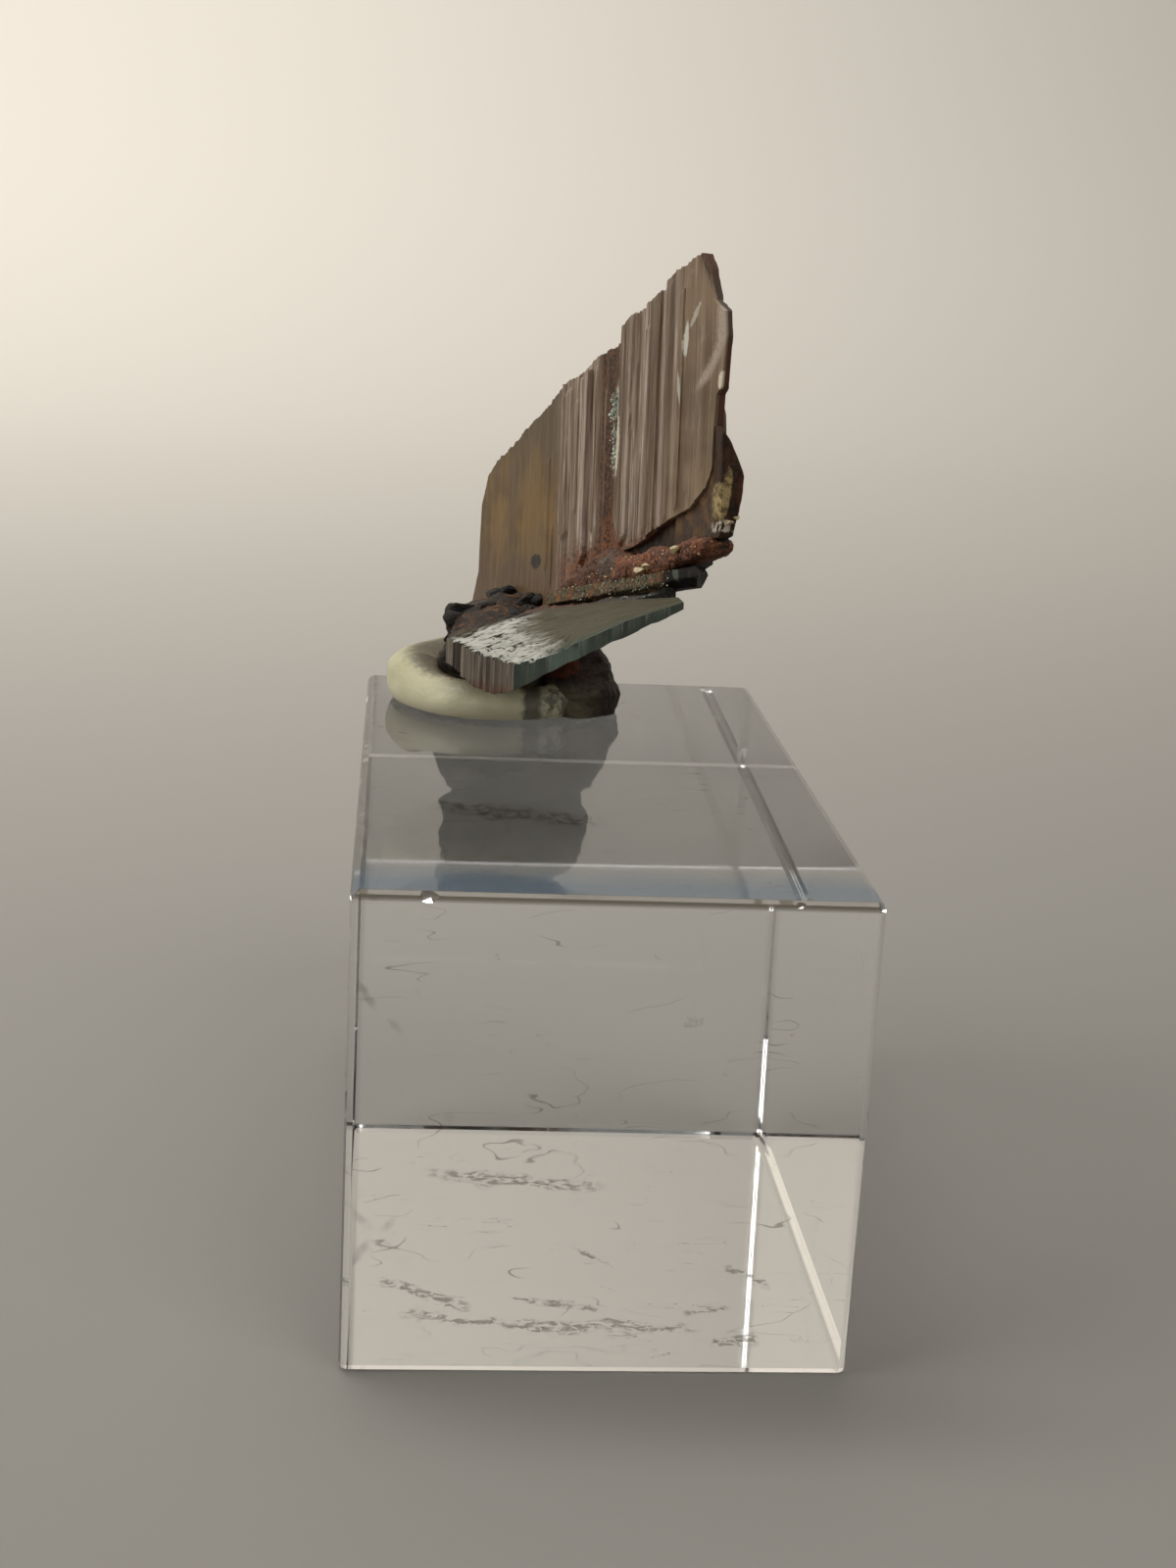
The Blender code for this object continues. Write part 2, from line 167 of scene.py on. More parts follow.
def tubeThrough(rings):
    # rings of points joined along their length, each end closed by a fan round its middle
    rows, cols = rings.shape[:2]
    around = np.arange(cols)
    after = np.roll(around, -1)
    points = np.concatenate([rings.reshape(-1, 3), rings[:1].mean(1), rings[-1:].mean(1)])
    last = (rows - 1) * cols
    nearFan = pack(around, np.full(cols, rows * cols), after, after)
    farFan = pack(last + after, np.full(cols, rows * cols + 1), last + around, last + around)
    return points, np.concatenate([quads(rows, cols, ring=True)[:, ::-1], nearFan[:, ::-1], farFan[:, ::-1]])


def asTriangles(faces):
    halves = np.concatenate([faces[:, [0, 1, 2]], faces[:, [0, 2, 3]]])
    a, b, c = halves.T
    return halves[(a != b) & (b != c) & (a != c)]


def signedVolume(points, faces):
    a, b, c = (points[column] for column in asTriangles(faces).T)
    return float(np.einsum("ij,ij->i", a, np.cross(b, c)).sum() / 6)


def smoothMesh(name, points, faces, finishes):
    mesh = bpy.data.meshes.new(name)
    mesh.from_pydata((points * millimetre).tolist(), [], faces)
    for finish in finishes:
        mesh.materials.append(finish)
    mesh.polygons.foreach_set("use_smooth", np.ones(len(mesh.polygons), bool))
    return mesh


def putInScene(name, data):
    added = bpy.data.objects.new(name, data)
    bpy.context.scene.collection.objects.link(added)
    return added


def makePiece(name, skin, finishes, groups=None, sharp=35, stands="crystal_group",
        uv=None):
    points, faces = skin[:2]
    if signedVolume(points, faces) < 0:
        faces = faces[:, ::-1]
    # a corner named twice makes a triangle of a four-sided face
    mesh = smoothMesh(name, points, [tuple(dict.fromkeys(face)) for face in faces.tolist()], finishes)
    if groups is not None:
        mesh.polygons.foreach_set("material_index", np.asarray(groups, np.int32))
    if uv is not None:
        layer = mesh.uv_layers.new(name="UVMap")
        corners = np.zeros(len(mesh.loops), np.int32)
        mesh.loops.foreach_get("vertex_index", corners)
        layer.data.foreach_set("uv", np.asarray(uv, np.float32)[corners].ravel())
    mesh.update()
    mesh.set_sharp_from_angle(angle=math.radians(sharp))
    piece = putInScene(name, mesh)
    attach(piece, "root")
    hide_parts(stands)
    print(name, "made,", len(mesh.polygons), "faces")


# Finishes: sockets written as sums

def tint(colour):
    # a name in shade or a screen colour, 0 to 255, to linear light; a wire stays a wire
    if isinstance(colour, Wire):
        return colour
    parts = [c / 255 for c in (shade[colour] if isinstance(colour, str) else colour)]
    return tuple(c / 12.92 if c <= 0.04045 else ((c + 0.055) / 1.055) ** 2.4 for c in parts) + (1,)


def nodeMath(operation, turned=False):
    # a method that feeds a Math node with this wire and another, the other way round if turned
    def made(self, other=0):
        first, second = (other, self) if turned else (self, other)
        return self.finish.add("Math", {"operation": operation}, {0: first, 1: second})
    return made


class Wire:
    def __init__(self, finish, socket):
        self.finish = finish
        self.socket = socket

    __add__, __radd__ = nodeMath("ADD"), nodeMath("ADD", turned=True)
    __sub__, __rsub__ = nodeMath("SUBTRACT"), nodeMath("SUBTRACT", turned=True)
    __mul__, __rmul__ = nodeMath("MULTIPLY"), nodeMath("MULTIPLY", turned=True)
    __truediv__, __pow__ = nodeMath("DIVIDE"), nodeMath("POWER")
    larger, size = nodeMath("MAXIMUM"), nodeMath("ABSOLUTE")

    def ramp(self, low, high, start=0, end=1):
        # from start to end, smoothly, as this wire goes from low to high
        return self.finish.add("MapRange", {"interpolation_type": "SMOOTHSTEP"},
            {"Value": self, "From Min": low, "From Max": high, "To Min": start, "To Max": end})


class Finish:
    def __init__(self, name):
        self.material = bpy.data.materials.new(name)
        self.material.use_nodes = True
        self.tree = self.material.node_tree
        self.shader = self.tree.nodes["Principled BSDF"]
        self.output = self.tree.nodes["Material Output"]

    def add(self, kind, settings, sockets, output=0):
        # any node: its settings first, then a value or a link for each named or numbered socket
        node = self.tree.nodes.new("ShaderNode" + kind)
        for key, value in settings.items():
            setattr(node, key, value)
        for key, value in sockets.items():
            self.feed(node.inputs[key], value)
        return Wire(self, node.outputs[output])

    def feed(self, socket, value):
        if isinstance(value, Wire):
            self.tree.links.new(value.socket, socket)
        else:
            socket.default_value = value

    def set(self, **values):
        for key, value in values.items():
            self.feed(self.shader.inputs[key.replace("_", " ")], value)
        return self

    def place(self, inSheaf=True):
        # object coordinates in millimetres, turned into the sheaf's own frame if asked
        read = self.add("TexCoord", {}, {}, "Object")
        sockets = {"Vector": read, "Scale": (1000, 1000, 1000)}
        if inSheaf:
            sockets["Rotation"] = sheafTurn.transposed().to_euler("XYZ")
            sockets["Location"] = tuple(-(sheafOrigin @ sheafAxes))
        return self.add("Mapping", {"vector_type": "POINT"}, sockets)

    def parts(self, vector):
        split = self.tree.nodes.new("ShaderNodeSeparateXYZ")
        self.feed(split.inputs[0], vector)
        return [Wire(self, socket) for socket in split.outputs]

    def axes(self, inSheaf=True):
        here = self.place(inSheaf)
        return [here] + self.parts(here)

    def stretched(self, vector, x, y, z):
        return self.add("VectorMath", {"operation": "MULTIPLY"}, {0: vector, 1: (x, y, z)})

    def noise(self, vector, scale, detail=2, rough=0.5):
        return self.add("TexNoise", {}, {"Vector": vector, "Scale": scale, "Detail": detail, "Roughness": rough})

    def specks(self, vector, scale):
        return self.add("TexVoronoi", {}, {"Vector": vector, "Scale": scale}, "Distance")

    def mix(self, share, first, second):
        return self.add("Mix", {"data_type": "RGBA"}, {0: share, 6: tint(first), 7: tint(second)}, 2)

    def fade(self, value, low, high, first, second):
        return self.mix(value.ramp(low, high), first, second)

    def layers(self, colour, rows):
        # each row's tone laid over the colours before it, by its share
        for share, tone in rows:
            colour = self.mix(share, colour, tone)
        return colour

    def bump(self, height, distance, strength):
        return self.add("Bump", {}, {"Height": height, "Distance": distance * millimetre, "Strength": strength})

    def done(self, colour, roughness, relief, **others):
        return self.set(Base_Color=colour, Roughness=roughness, Normal=self.bump(*relief), **others).material

    def spot(self, x, y, place, reach, wobble):
        # 1 in a rough-edged oval round a place, falling to 0 outside it
        far = ((x - place[0]) / reach[0]) ** 2 + ((y - place[1]) / reach[1]) ** 2
        return (far + wobble).ramp(1.25, 0.6)


# Colours, as seen on a screen, 0 to 255

shade = {
    # the ochre tone is partly the crystal's own colour and partly a painted glow of light shining through it
    "ochreGlow": (120, 92, 48),
    "smoothBrown": (96, 74, 43),
    "greyBrown": (92, 77, 55),
    "footMauve": (92, 72, 54),
    "mauve": (138, 120, 106),
    "lathDark": (95, 75, 57),
    "lathMiddle": (147, 128, 110),
    "lathPale": (179, 163, 147),
    # silver: a painted sheen along the striations
    "silverSheen": (204, 194, 184),
    # ridge: the colour of painted highlights along the laths' ridges
    "ridgeHighlight": (176, 158, 144),
    "grooveBrown": (112, 74, 46),
    "deepBrown": (56, 38, 25),
    "redBrown": (78, 40, 24),
    "nearBlack": (24, 17, 12),
    "rust": (142, 84, 48),
    "brightRust": (182, 118, 74),
    "cream": (214, 200, 160),
    "druse": (196, 206, 190),
    "scar": (202, 198, 184),
    "teal": (40, 50, 41),
    "paleTeal": (116, 134, 122),
    "putty": (178, 173, 140),
}


# Brown striated crystals

brownLook = {
    "streakAlong": 0.035,
    "fineStreaks": 9,
    "broadStreaks": 1.6,
    # middle along and up, then reach along and up
    "scars": [((5.35, 11.1), (0.3, 0.85)), ((-2.3, 12.2), (0.22, 0.6)), ((7.66, 8.8), (0.16, 0.85))],
    "glints": [((10.4, 8.8), (0.42, 0.5)), ((-1.12, 6.3), (0.26, 1.7))],
    "darkDot": ((-12.5, 0.22), (0.78, 0.44)),
    "druseSpot": ((-2.5, 7.2), (0.5, 2.4)),
    # painted highlights along the laths' ridges, then painted shade in the grooves beside them: middle along the
    # sheaf, half width, strength
    "ridgeHighlights": [(0.35, 0.26, 0.85), (1.8, 0.16, 0.75), (3.95, 0.22, 0.75), (-7.75, 0.24, 0.7),
        (-5.25, 0.22, 0.75), (-9.1, 0.12, 0.5)],
    "grooveShade": [(-0.35, 0.22, 0.5), (1.15, 0.3, 0.45), (2.75, 0.22, 0.5), (-6.6, 0.3, 0.45),
        (4.9, 0.4, 0.35), (-8.3, 0.2, 0.4)],
}


def brownFinish(name, side):
    f = Finish(name)
    here, across, depth, up = f.axes()
    drift = f.noise(here, 0.35, 2)
    streaks = f.noise(f.stretched(here, 1, 1, brownLook["streakAlong"]), brownLook["fineStreaks"], 3, 0.65)
    broad = f.noise(f.stretched(here, 1, 1, brownLook["streakAlong"]), brownLook["broadStreaks"], 2)
    cloud = f.noise(here, 0.2, 3, 0.6)
    fine = f.noise(here, 5, 3, 0.6)
    # the smooth left part is patched with ochre, partly its own colour and partly a painted glow of light
    # through the crystal; it is greyer above and mauve at its foot
    smooth = f.layers(f.fade(cloud, 0.44, 0.6, "smoothBrown", "ochreGlow"), [
        ((up + drift * 3).ramp(4.5, 10.5) * 0.8, "greyBrown"),
        ((up + drift * 2).ramp(3.4, 0) * 0.7, "footMauve"),
        (streaks.ramp(0.4, 0.75) * 0.18, "deepBrown"),
    ])
    # the striated part: quiet tones with pale streaks, and silver lines that are a painted sheen along the
    # striations
    lath = f.layers(f.fade(broad * 0.5 + streaks * 0.5, 0.36, 0.62, "lathDark", "lathMiddle"), [
        ((streaks * 0.5 + broad * 0.5).ramp(0.54, 0.68), "lathPale"),
        ((streaks * 0.75 + broad * 0.25).ramp(0.585, 0.66) * drift.ramp(0.3, 0.5), "silverSheen"),
    ])
    lean = across + up * 0.02 + (broad - 0.5) * 0.5
    # painted highlights along the laths' ridges
    for middle, halfWide, strength in brownLook["ridgeHighlights"]:
        ridgeHighlight = (lean - middle).size().ramp(halfWide, halfWide * 0.35)
        lath = f.mix(ridgeHighlight * streaks.ramp(0.34, 0.56, 0.35, 1) * strength, lath, "ridgeHighlight")
    # painted shade darkens the grooves between the laths
    for middle, halfWide, strength in brownLook["grooveShade"]:
        dip = (lean - middle).size().ramp(halfWide, halfWide * 0.35)
        lath = f.mix(dip * strength, lath, "deepBrown")
    warmRight = (across + drift * 2 - up * 0.1).ramp(4.2, 6.4)
    warmTone = f.fade(cloud + broad * 0.3, 0.52, 0.72, (100, 80, 56), (134, 112, 86))
    lath = f.mix(warmRight * 0.7, lath, warmTone)
    striated = (across + drift * 2.2).ramp(-9, -7.4)
    colour = f.mix(striated, smooth, lath)
    # the groove between the halves is dark, and dusted with pale druse half way up
    groove = (across + drift * 0.5).ramp(-4.3, -3.7) * across.ramp(-0.9, -1.6)
    groove = groove * depth.ramp(0.14, 0.26) * depth.ramp(0.95, 0.7)
    dusting = groove * f.spot(across, up, *brownLook["druseSpot"], fine * 2 - 1)
    # rust creeps up from the crust
    inCrack = (across + 2.6).size().ramp(1.7, 0.7) * 1.1
    line = (up - across * 0.05 + drift * 2.4 + streaks * 1.2 + fine * 2.2 - inCrack).ramp(5, 3.4)
    foot = line * across.ramp(-10.5, -6.5)
    # pale scars on the right half, a painted sheen curving along its right edge, and painted glints
    wobble = fine * 1.5 - 0.75
    middleScar, leftScar, rightScar = brownLook["scars"]
    scars = f.spot(across - up * 0.1, up, *middleScar, wobble)
    scars = scars.larger(f.spot(across - up * 0.8, up, *leftScar, wobble) * 0.6)
    scars = scars.larger(f.spot(across + up * 0.2, up, *rightScar, wobble) * 0.7)
    bend = (10.9 - up).larger(0) ** 1.5 * 0.6
    sheen = (across + bend - 10.15 + wobble * 0.4).size().ramp(0.75, 0.1)
    sheen = sheen * up.ramp(8.3, 9) * up.ramp(12.9, 12.2) * fine.ramp(0.2, 0.6, 0.4, 0.85)
    edgeGlint, crackGlint = brownLook["glints"]
    glint = f.spot(across, up, *edgeGlint, wobble)
    glint = glint.larger(f.spot(across, up, *crackGlint, wobble) * 0.95)
    darkEdge = (across + up * 0.775 + wobble * 0.2).ramp(19.25, 19.6) * up.ramp(12.1, 12.5)
    onFace = depth.ramp(0.3, 0.15)
    darkDot = f.spot(across, up, *brownLook["darkDot"], wobble * 1.4)
    # thin broken rims let a red-brown light through
    rimTone = depth.ramp(side["rimFrom"], side["rimFrom"] + 0.12)
    rimTone = rimTone * depth.ramp(side["rimTo"] + 0.1, side["rimTo"])
    # painted shadow just above the crust, used on the rear blade
    shadowAboveCrust = (up - across * 0.12 + fine * 0.8).ramp(1.9, 1) * across.ramp(0, 1)
    colour = f.layers(colour, [
        (groove * 0.9, f.fade(fine, 0.35, 0.7, (46, 31, 20), "grooveBrown")),
        (dusting * 0.7, "druse"),
        (foot * 0.85, f.fade(fine, 0.35, 0.65, "deepBrown", "rust")),
        (darkEdge * 0.85, f.fade(drift, 0.4, 0.6, "deepBrown", "redBrown")),
        (sheen * onFace, "lathPale"),
        (scars * onFace, "scar"),
        (glint * onFace, (214, 202, 178)),
        (darkDot * depth.ramp(0.5, 0.3), "nearBlack"),
        (rimTone * side["rimShare"], f.fade(drift, 0.4, 0.6, "deepBrown", "redBrown")),
        # on the rear blade: darker low down, and nearly black just above the crust where a shadow is painted
        ((up - across * 0.42).ramp(1.6, 0.8) * across.ramp(0.4, 1.2) * side["footShare"],
         f.fade(cloud + fine * 0.4, 0.55, 0.8, (44, 29, 18), (72, 54, 34))),
        (shadowAboveCrust * side["footShare"] * 0.8, (32, 19, 12)),
    ])
    relief = streaks * striated * 0.9 + fine * 0.25
    return f.done(colour, streaks.ramp(0.3, 0.7, 0.4, 0.58) + scars * 0.2,
        (relief, 0.05, 0.8), Specular_IOR_Level=0.35)


leftBlade = {
    "from": -23.1, "to": -0.7, "columns": 420, "rows": 90, "leftReach": 5, "leftPower": 2,
    "leftLean": [(-2.6, 0), (-0.4, 1.2), (3.7, 1.4)],
    "rightLean": [(0, 0), (1, 0)],
    "top": [(-21.7, 3.7), (-20.7, 5.4), (-19.8, 6), (-16.8, 7), (-13.9, 8.1), (-10.6, 9.3), (-9.2, 10),
        (-8.4, 10.1), (-7.4, 10.2), (-6, 10.7), (-4.3, 11.3), (-3.1, 11.6), (-1.6, 11.6), (-0.8, 8.2)],
    "bottom": [(-23.1, -2.6), (-10.6, -3), (-2.6, -2.3), (-0.7, -0.4)],
    "front": [(-23.2, 0.2), (-21.6, 0.15), (-14, 0.1), (-9.3, 0.05), (-9.1, -0.06), (-6.5, 0.12),
        (-5, 0.12), (-4.35, 0.12), (-4.15, 0.28), (-3.3, 0.3), (-3.1, 0.42), (-0.6, 0.45)],
    "back": [(-23.2, 0.45), (-19.5, 1), (-14.8, 1.05), (-14.6, 1.2), (-10, 1.15), (-9.8, 1.35), (-6.1, 1.3),
        (-5.9, 1.5), (-0.6, 1.5)],
    # middle, width, how proud, pointed lower end, upper end
    "laths": [(-8.35, 1.1, 0.1, 1.3, 9.6), (-5.75, 1.05, 0.3, -0.1, 10.4), (-4.7, 0.4, 0.08, 1.6, 10.6),
        (-7.05, 0.35, 0.07, 2.8, 9), (-3.55, 0.22, 0.06, 2.2, 9.4), (-11.1, 0.5, 0.04, -0.4, 6),
        (-10.2, 0.3, 0.06, -1.2, 2.2)],
    "backLaths": [(-17.3, 2.1, 0.3, -2, 4.4), (-11.7, 1.7, 0.4, -2.2, 7.2), (-7.8, 1.1, 0.4, -1.8, 5.8),
        (-2.8, 1.5, 0.4, -1.6, 8.9), (-14.2, 0.6, 0.15, -1, 6.9), (-19.8, 0.8, 0.12, -2.2, 2)],
    "striaFrom": -9.6,
}
rightBlade = {
    "from": -1.3, "to": 9.2, "columns": 300, "rows": 110, "leftReach": 1.6, "leftPower": 1,
    "leftLean": [(0.7, 0.7), (3.8, -0.3), (6.5, -0.9), (9.5, -0.5), (11.4, 0), (12.4, 0)],
    "rightLean": [(3.8, 0), (4.7, 0.6), (6.4, 0.6), (8.2, 0.7), (8.5, 1.1), (10.9, 1.4), (12.1, 1.2),
        (12.4, 0.6), (12.7, 0.1), (13.4, -0.3), (14.3, -0.7), (15.1, -1.3)],
    "top": [(-1.3, 12.4), (0.4, 13), (2, 13.4), (3.3, 13.9), (3.65, 13.85), (3.8, 14.2), (4.9, 14.6),
        (6.2, 14.8), (7.9, 15.1)],
    "bottom": [(-0.6, 0.7), (1.2, 1), (2.7, 1.4), (3.8, 1.9), (5.3, 2.3), (7.6, 2.8), (9.2, 3.8)],
    "front": [(-2.3, 0.22), (-1.3, 0.1), (-1.15, 0.02), (0.4, 0), (3.6, 0), (8.2, -0.04), (10.4, 0.04),
        (11.2, 0.12)],
    "back": [(-2.3, 0.58), (8, 0.52), (9.6, 0.5), (11.2, 0.3)],
    "laths": [(-0.45, 1.4, 0.2, 0.9, 12.8), (2.95, 1.2, 0.17, 1.2, 13.7), (1.85, 0.45, 0.09, 1, 12.2),
        (0.75, 0.25, 0.06, 1, 10.5), (4.55, 0.8, 0.06, 2.1, 14.2), (5.95, 0.5, 0.09, 2.6, 13.6),
        (7, 0.35, 0.04, 3.4, 14.4), (8.5, 0.6, 0.03, 4.4, 11)],
    "backLaths": [],
    "striaFrom": -3,
}
rearBlade = {
    "from": -1.5, "to": 10.1, "columns": 240, "rows": 80, "leftReach": 1.6, "leftPower": 1,
    "leftLean": [(-1.2, 0), (10.6, 0.2)],
    "rightLean": [(1, 0), (7.2, -0.9), (8.2, -1.5), (10.2, -2.2), (12.4, -2.7)],
    "top": [(-1.3, 10.6), (1.6, 11.8), (1.8, 10.9), (4.3, 12.2), (4.5, 11.6), (7.4, 12.4)],
    "bottom": [(-1.5, -1.2), (6, -0.6), (10.1, 0.9)],
    "front": [(-1.6, 0.42), (3, 0.45), (3.15, 0.5), (10.6, 0.45)],
    "back": [(-1.6, 1.5), (1.5, 1.55), (1.7, 1.4), (4.4, 1.35), (4.6, 1.15), (7.9, 1.2), (8.1, 1),
        (10.6, 0.95)],
    "laths": [],
    "backLaths": [(1, 0.8, 0.4, -0.8, 6.4), (3.7, 1, 0.35, -0.6, 8.3), (6.1, 0.6, 0.2, 0.2, 9.9),
        (-0.5, 0.5, 0.2, -0.4, 9.4)],
    "striaFrom": -3,
}


bladeSteps = {
    "span": (-24, 12),
    # mean width and height of each size of ledge
    "top": [(0.45, 0.1), (0.13, 0.04)],
    "front": [(0.55, 0.035), (0.2, 0.022), (0.09, 0.012)],
    "back": [(0.7, 0.06), (0.25, 0.03)],
}


def manyLedges(across, sizes, seed):
    return sum(ledges(across, *bladeSteps["span"], *size, seed + n) for n, size in enumerate(sizes))


def lathRelief(laths, across, up):
    # each narrow crystal stands proud between a pointed lower end and a slanted upper end
    total = np.zeros(across.shape)
    for middle, width, proud, low, high in laths:
        away = np.abs(across - middle)
        body = step(width / 2 + 0.03 - away, 0, 0.06)
        foot = step(up - low - away * 0.9, 0, 0.15)
        head = step(high + (across - middle) * 0.4 - up, 0, 0.12)
        total += proud * body * foot * head
    return total


def bladeSkin(b, seed):
    # formula: each column runs up the striations between the lower and upper outline, its ends lean to
    # the side outlines, and depth is the section plus ledges, laths and a little unevenness
    column = np.linspace(0, 1, b["columns"])[None, :]
    row = np.linspace(0, 1, b["rows"])[:, None]
    across = b["from"] + (b["to"] - b["from"]) * column + 0 * row
    leftShare = np.clip(1 - (across - b["from"]) / b["leftReach"], 0, 1) ** b["leftPower"]
    rightShare = np.clip(1 - (b["to"] - across) / 2.2, 0, 1)
    up = 0.5 * (b["top"][0][1] + b["bottom"][0][1]) + 0 * across
    for _ in range(4):
        leaned = across + leftShare * follow(b["leftLean"], up) + rightShare * follow(b["rightLean"], up)
        high = follow(b["top"], leaned[-1:]) + manyLedges(leaned[-1:], bladeSteps["top"], seed + 1)
        low = follow(b["bottom"], leaned[:1])
        up = low + (high - low) * row
    striated = step(leaned, b["striaFrom"] - 0.6, b["striaFrom"] + 0.8)
    spot = pack(leaned, 0 * up, up)
    wander = leaned + 0.05 * ripple(spot, (1.2, 1, 3), seed + 3)
    relief = manyLedges(wander, bladeSteps["front"], seed + 4)
    slow = 0.05 * ripple(spot, (3.5, 1, 4.5), seed + 7) + 0.012 * ripple(spot, (0.4, 1, 1.4), seed + 8)
    front = follow(b["front"], leaned) + relief * (0.12 + 0.88 * striated) + slow
    front = front - lathRelief(b["laths"], wander, up)
    backRelief = manyLedges(wander, bladeSteps["back"], seed + 9)
    back = follow(b["back"], leaned) + backRelief * 0.8 + slow + lathRelief(b["backLaths"], wander, up)
    back = np.maximum(back, front + 0.12)
    return skinBetween(*[fromSheaf(pack(leaned, face, up)) for face in (front, back)])


leftFinish = brownFinish("leftBrown", {"rimFrom": 0.55, "rimTo": 1.2, "rimShare": 0, "footShare": 0})
rightFinish = brownFinish("rightBrown", {"rimFrom": 0.12, "rimTo": 0.9, "rimShare": 0.9, "footShare": 0})
rearFinish = brownFinish("rearBrown", {"rimFrom": 0.5, "rimTo": 1.7, "rimShare": 0.6, "footShare": 0.9})
for name, shape, finish, seed in (("left_blade", leftBlade, leftFinish, 11),
        ("right_blade", rightBlade, rightFinish, 31), ("rear_blade", rearBlade, rearFinish, 51)):
    makePiece(name, bladeSkin(shape, seed), [finish])
print("striated blades done")


# The thick dark crystal at the right end of the sheaf

endCrystal = {
    "from": 5.6, "to": 10.75, "stations": 60, "around": 96,
    # depth and height of the section's corners, at the free end and at the buried end
    "freeEnd": [(0, 6.6), (0.6, 5.9), (1.05, 5), (1.35, 4.3), (1.15, 2.6), (0.85, 1.4), (0.1, 1.35)],
    "buriedEnd": [(0.3, 6.9), (1, 6.3), (1.55, 5.4), (1.75, 3.4), (1.5, 2), (1.3, 0.8), (0.2, 0.8)],
}


def aroundCorners(corners, count):
    # points spaced evenly along a closed outline
    loop = np.array(corners + corners[:1], float)
    runs = np.concatenate([[0], np.cumsum(np.linalg.norm(np.diff(loop, axis=0), axis=1))])
    where = np.linspace(0, runs[-1], count, endpoint=False)
    return columnsAt(where, runs, loop)


def blendedBar(c, near, far):
    # share of the length, place along the sheaf, and the section there, blended from one outline to another
    along = np.linspace(0, 1, c["stations"])[:, None]
    first, last = (aroundCorners(c[key], c["around"])[None] for key in (near, far))
    section = first + (last - first) * along[..., None]
    return along, c["from"] + (c["to"] - c["from"]) * along + 0 * section[..., 0], section


def endCrystalSkin(c):
    # formula: the section blends from the buried end to the free end; the free end's edge is chamfered
    along, across, section = blendedBar(c, "buriedEnd", "freeEnd")
    middle = section.mean(1, keepdims=True)
    chamfer = 1 - 0.1 * np.clip((along - 0.96) / 0.04, 0, 1) ** 2
    section = middle + (section - middle) * chamfer[..., None]
    spot = pack(across, section[..., 0], section[..., 1])
    push = 0.05 * ripple(spot, (2, 0.25, 0.8), 71) + 0.02 * ripple(spot, (0.5, 0.2, 0.3), 72)
    outward = section - middle
    outward = outward / np.linalg.norm(outward, axis=-1, keepdims=True)
    section = section + outward * push[..., None]
    across = across + 0.05 * ripple(spot, (9, 0.35, 0.35), 73) * along
    return tubeThrough(fromSheaf(pack(across, section[..., 0], section[..., 1])))


def darkFinish():
    f = Finish("darkCrystal")
    here, across, depth, up = f.axes()
    cloud = f.noise(here, 0.8, 4, 0.6)
    colour = f.fade(cloud, 0.35, 0.65, (34, 23, 15), (64, 43, 27))
    glow = (depth + cloud * 0.5).ramp(1.1, 1.45)
    wobble = f.noise(here, 2.5, 4) * 1.2 - 0.6
    # the free end carries a yellow patch and a whitish crust below it
    onEnd = across.ramp(9.6, 10.2)
    yellow = f.spot(depth - up * 0.12, up, (-0.1, 3.4), (0.3, 1.25), wobble) * onEnd
    mottle = f.noise(here, 3.4, 3, 0.6)
    pale = f.spot(depth, up, (0.45, 1.85), (0.55, 0.32), wobble) * onEnd
    colour = f.layers(colour, [
        (across.ramp(10.2, 9.4) * up.ramp(6.2, 4.6),
         f.fade(cloud, 0.4, 0.62, (62, 43, 28), (104, 77, 50))),
        (glow * 0.8, "redBrown"),
        ((up + cloud).ramp(2.6, 1.6) * 0.6, (50, 35, 24)),
        (yellow * mottle.ramp(0.36, 0.6, 0.25, 0.95), (172, 150, 104)),
        (pale * mottle.ramp(0.44, 0.56) * 0.85, (196, 188, 170)),
    ])
    return f.done(colour, cloud.ramp(0.3, 0.7, 0.36, 0.56) + (yellow + pale) * 0.15,
        (f.noise(here, 3, 4, 0.6), 0.12, 0.7), Specular_IOR_Level=0.2)


makePiece("end_crystal", endCrystalSkin(endCrystal), [darkFinish()])


# The rusty sugary crust along the sheaf's foot

crust = {
    "from": -9.7, "to": 10.2, "stations": 560, "around": 88,
    # place along the sheaf, then middle height, half height and how far it stands proud
    "middle": [(-9.7, -2), (-6.6, -1.4), (-4.2, -0.9), (-2, -0.5), (0.2, -0.4), (3, -0.1), (6, 0.3),
        (8.4, 0.75), (10.2, 1.05)],
    "half": [(-9.7, 0.4), (-6.6, 0.7), (-4.2, 1.15), (-3, 1.55), (-1.4, 1.5), (0.2, 1), (3, 0.85),
        (6, 0.65), (8.4, 0.55), (10.2, 0.25)],
    "proud": [(-9.7, 0.2), (-6.6, 0.5), (-4.2, 0.6), (-2, 0.45), (0.2, 0.6), (3, 0.6), (6, 0.5),
        (8.4, 0.42), (10.2, 0.2)],
    "deep": 1.45,
}


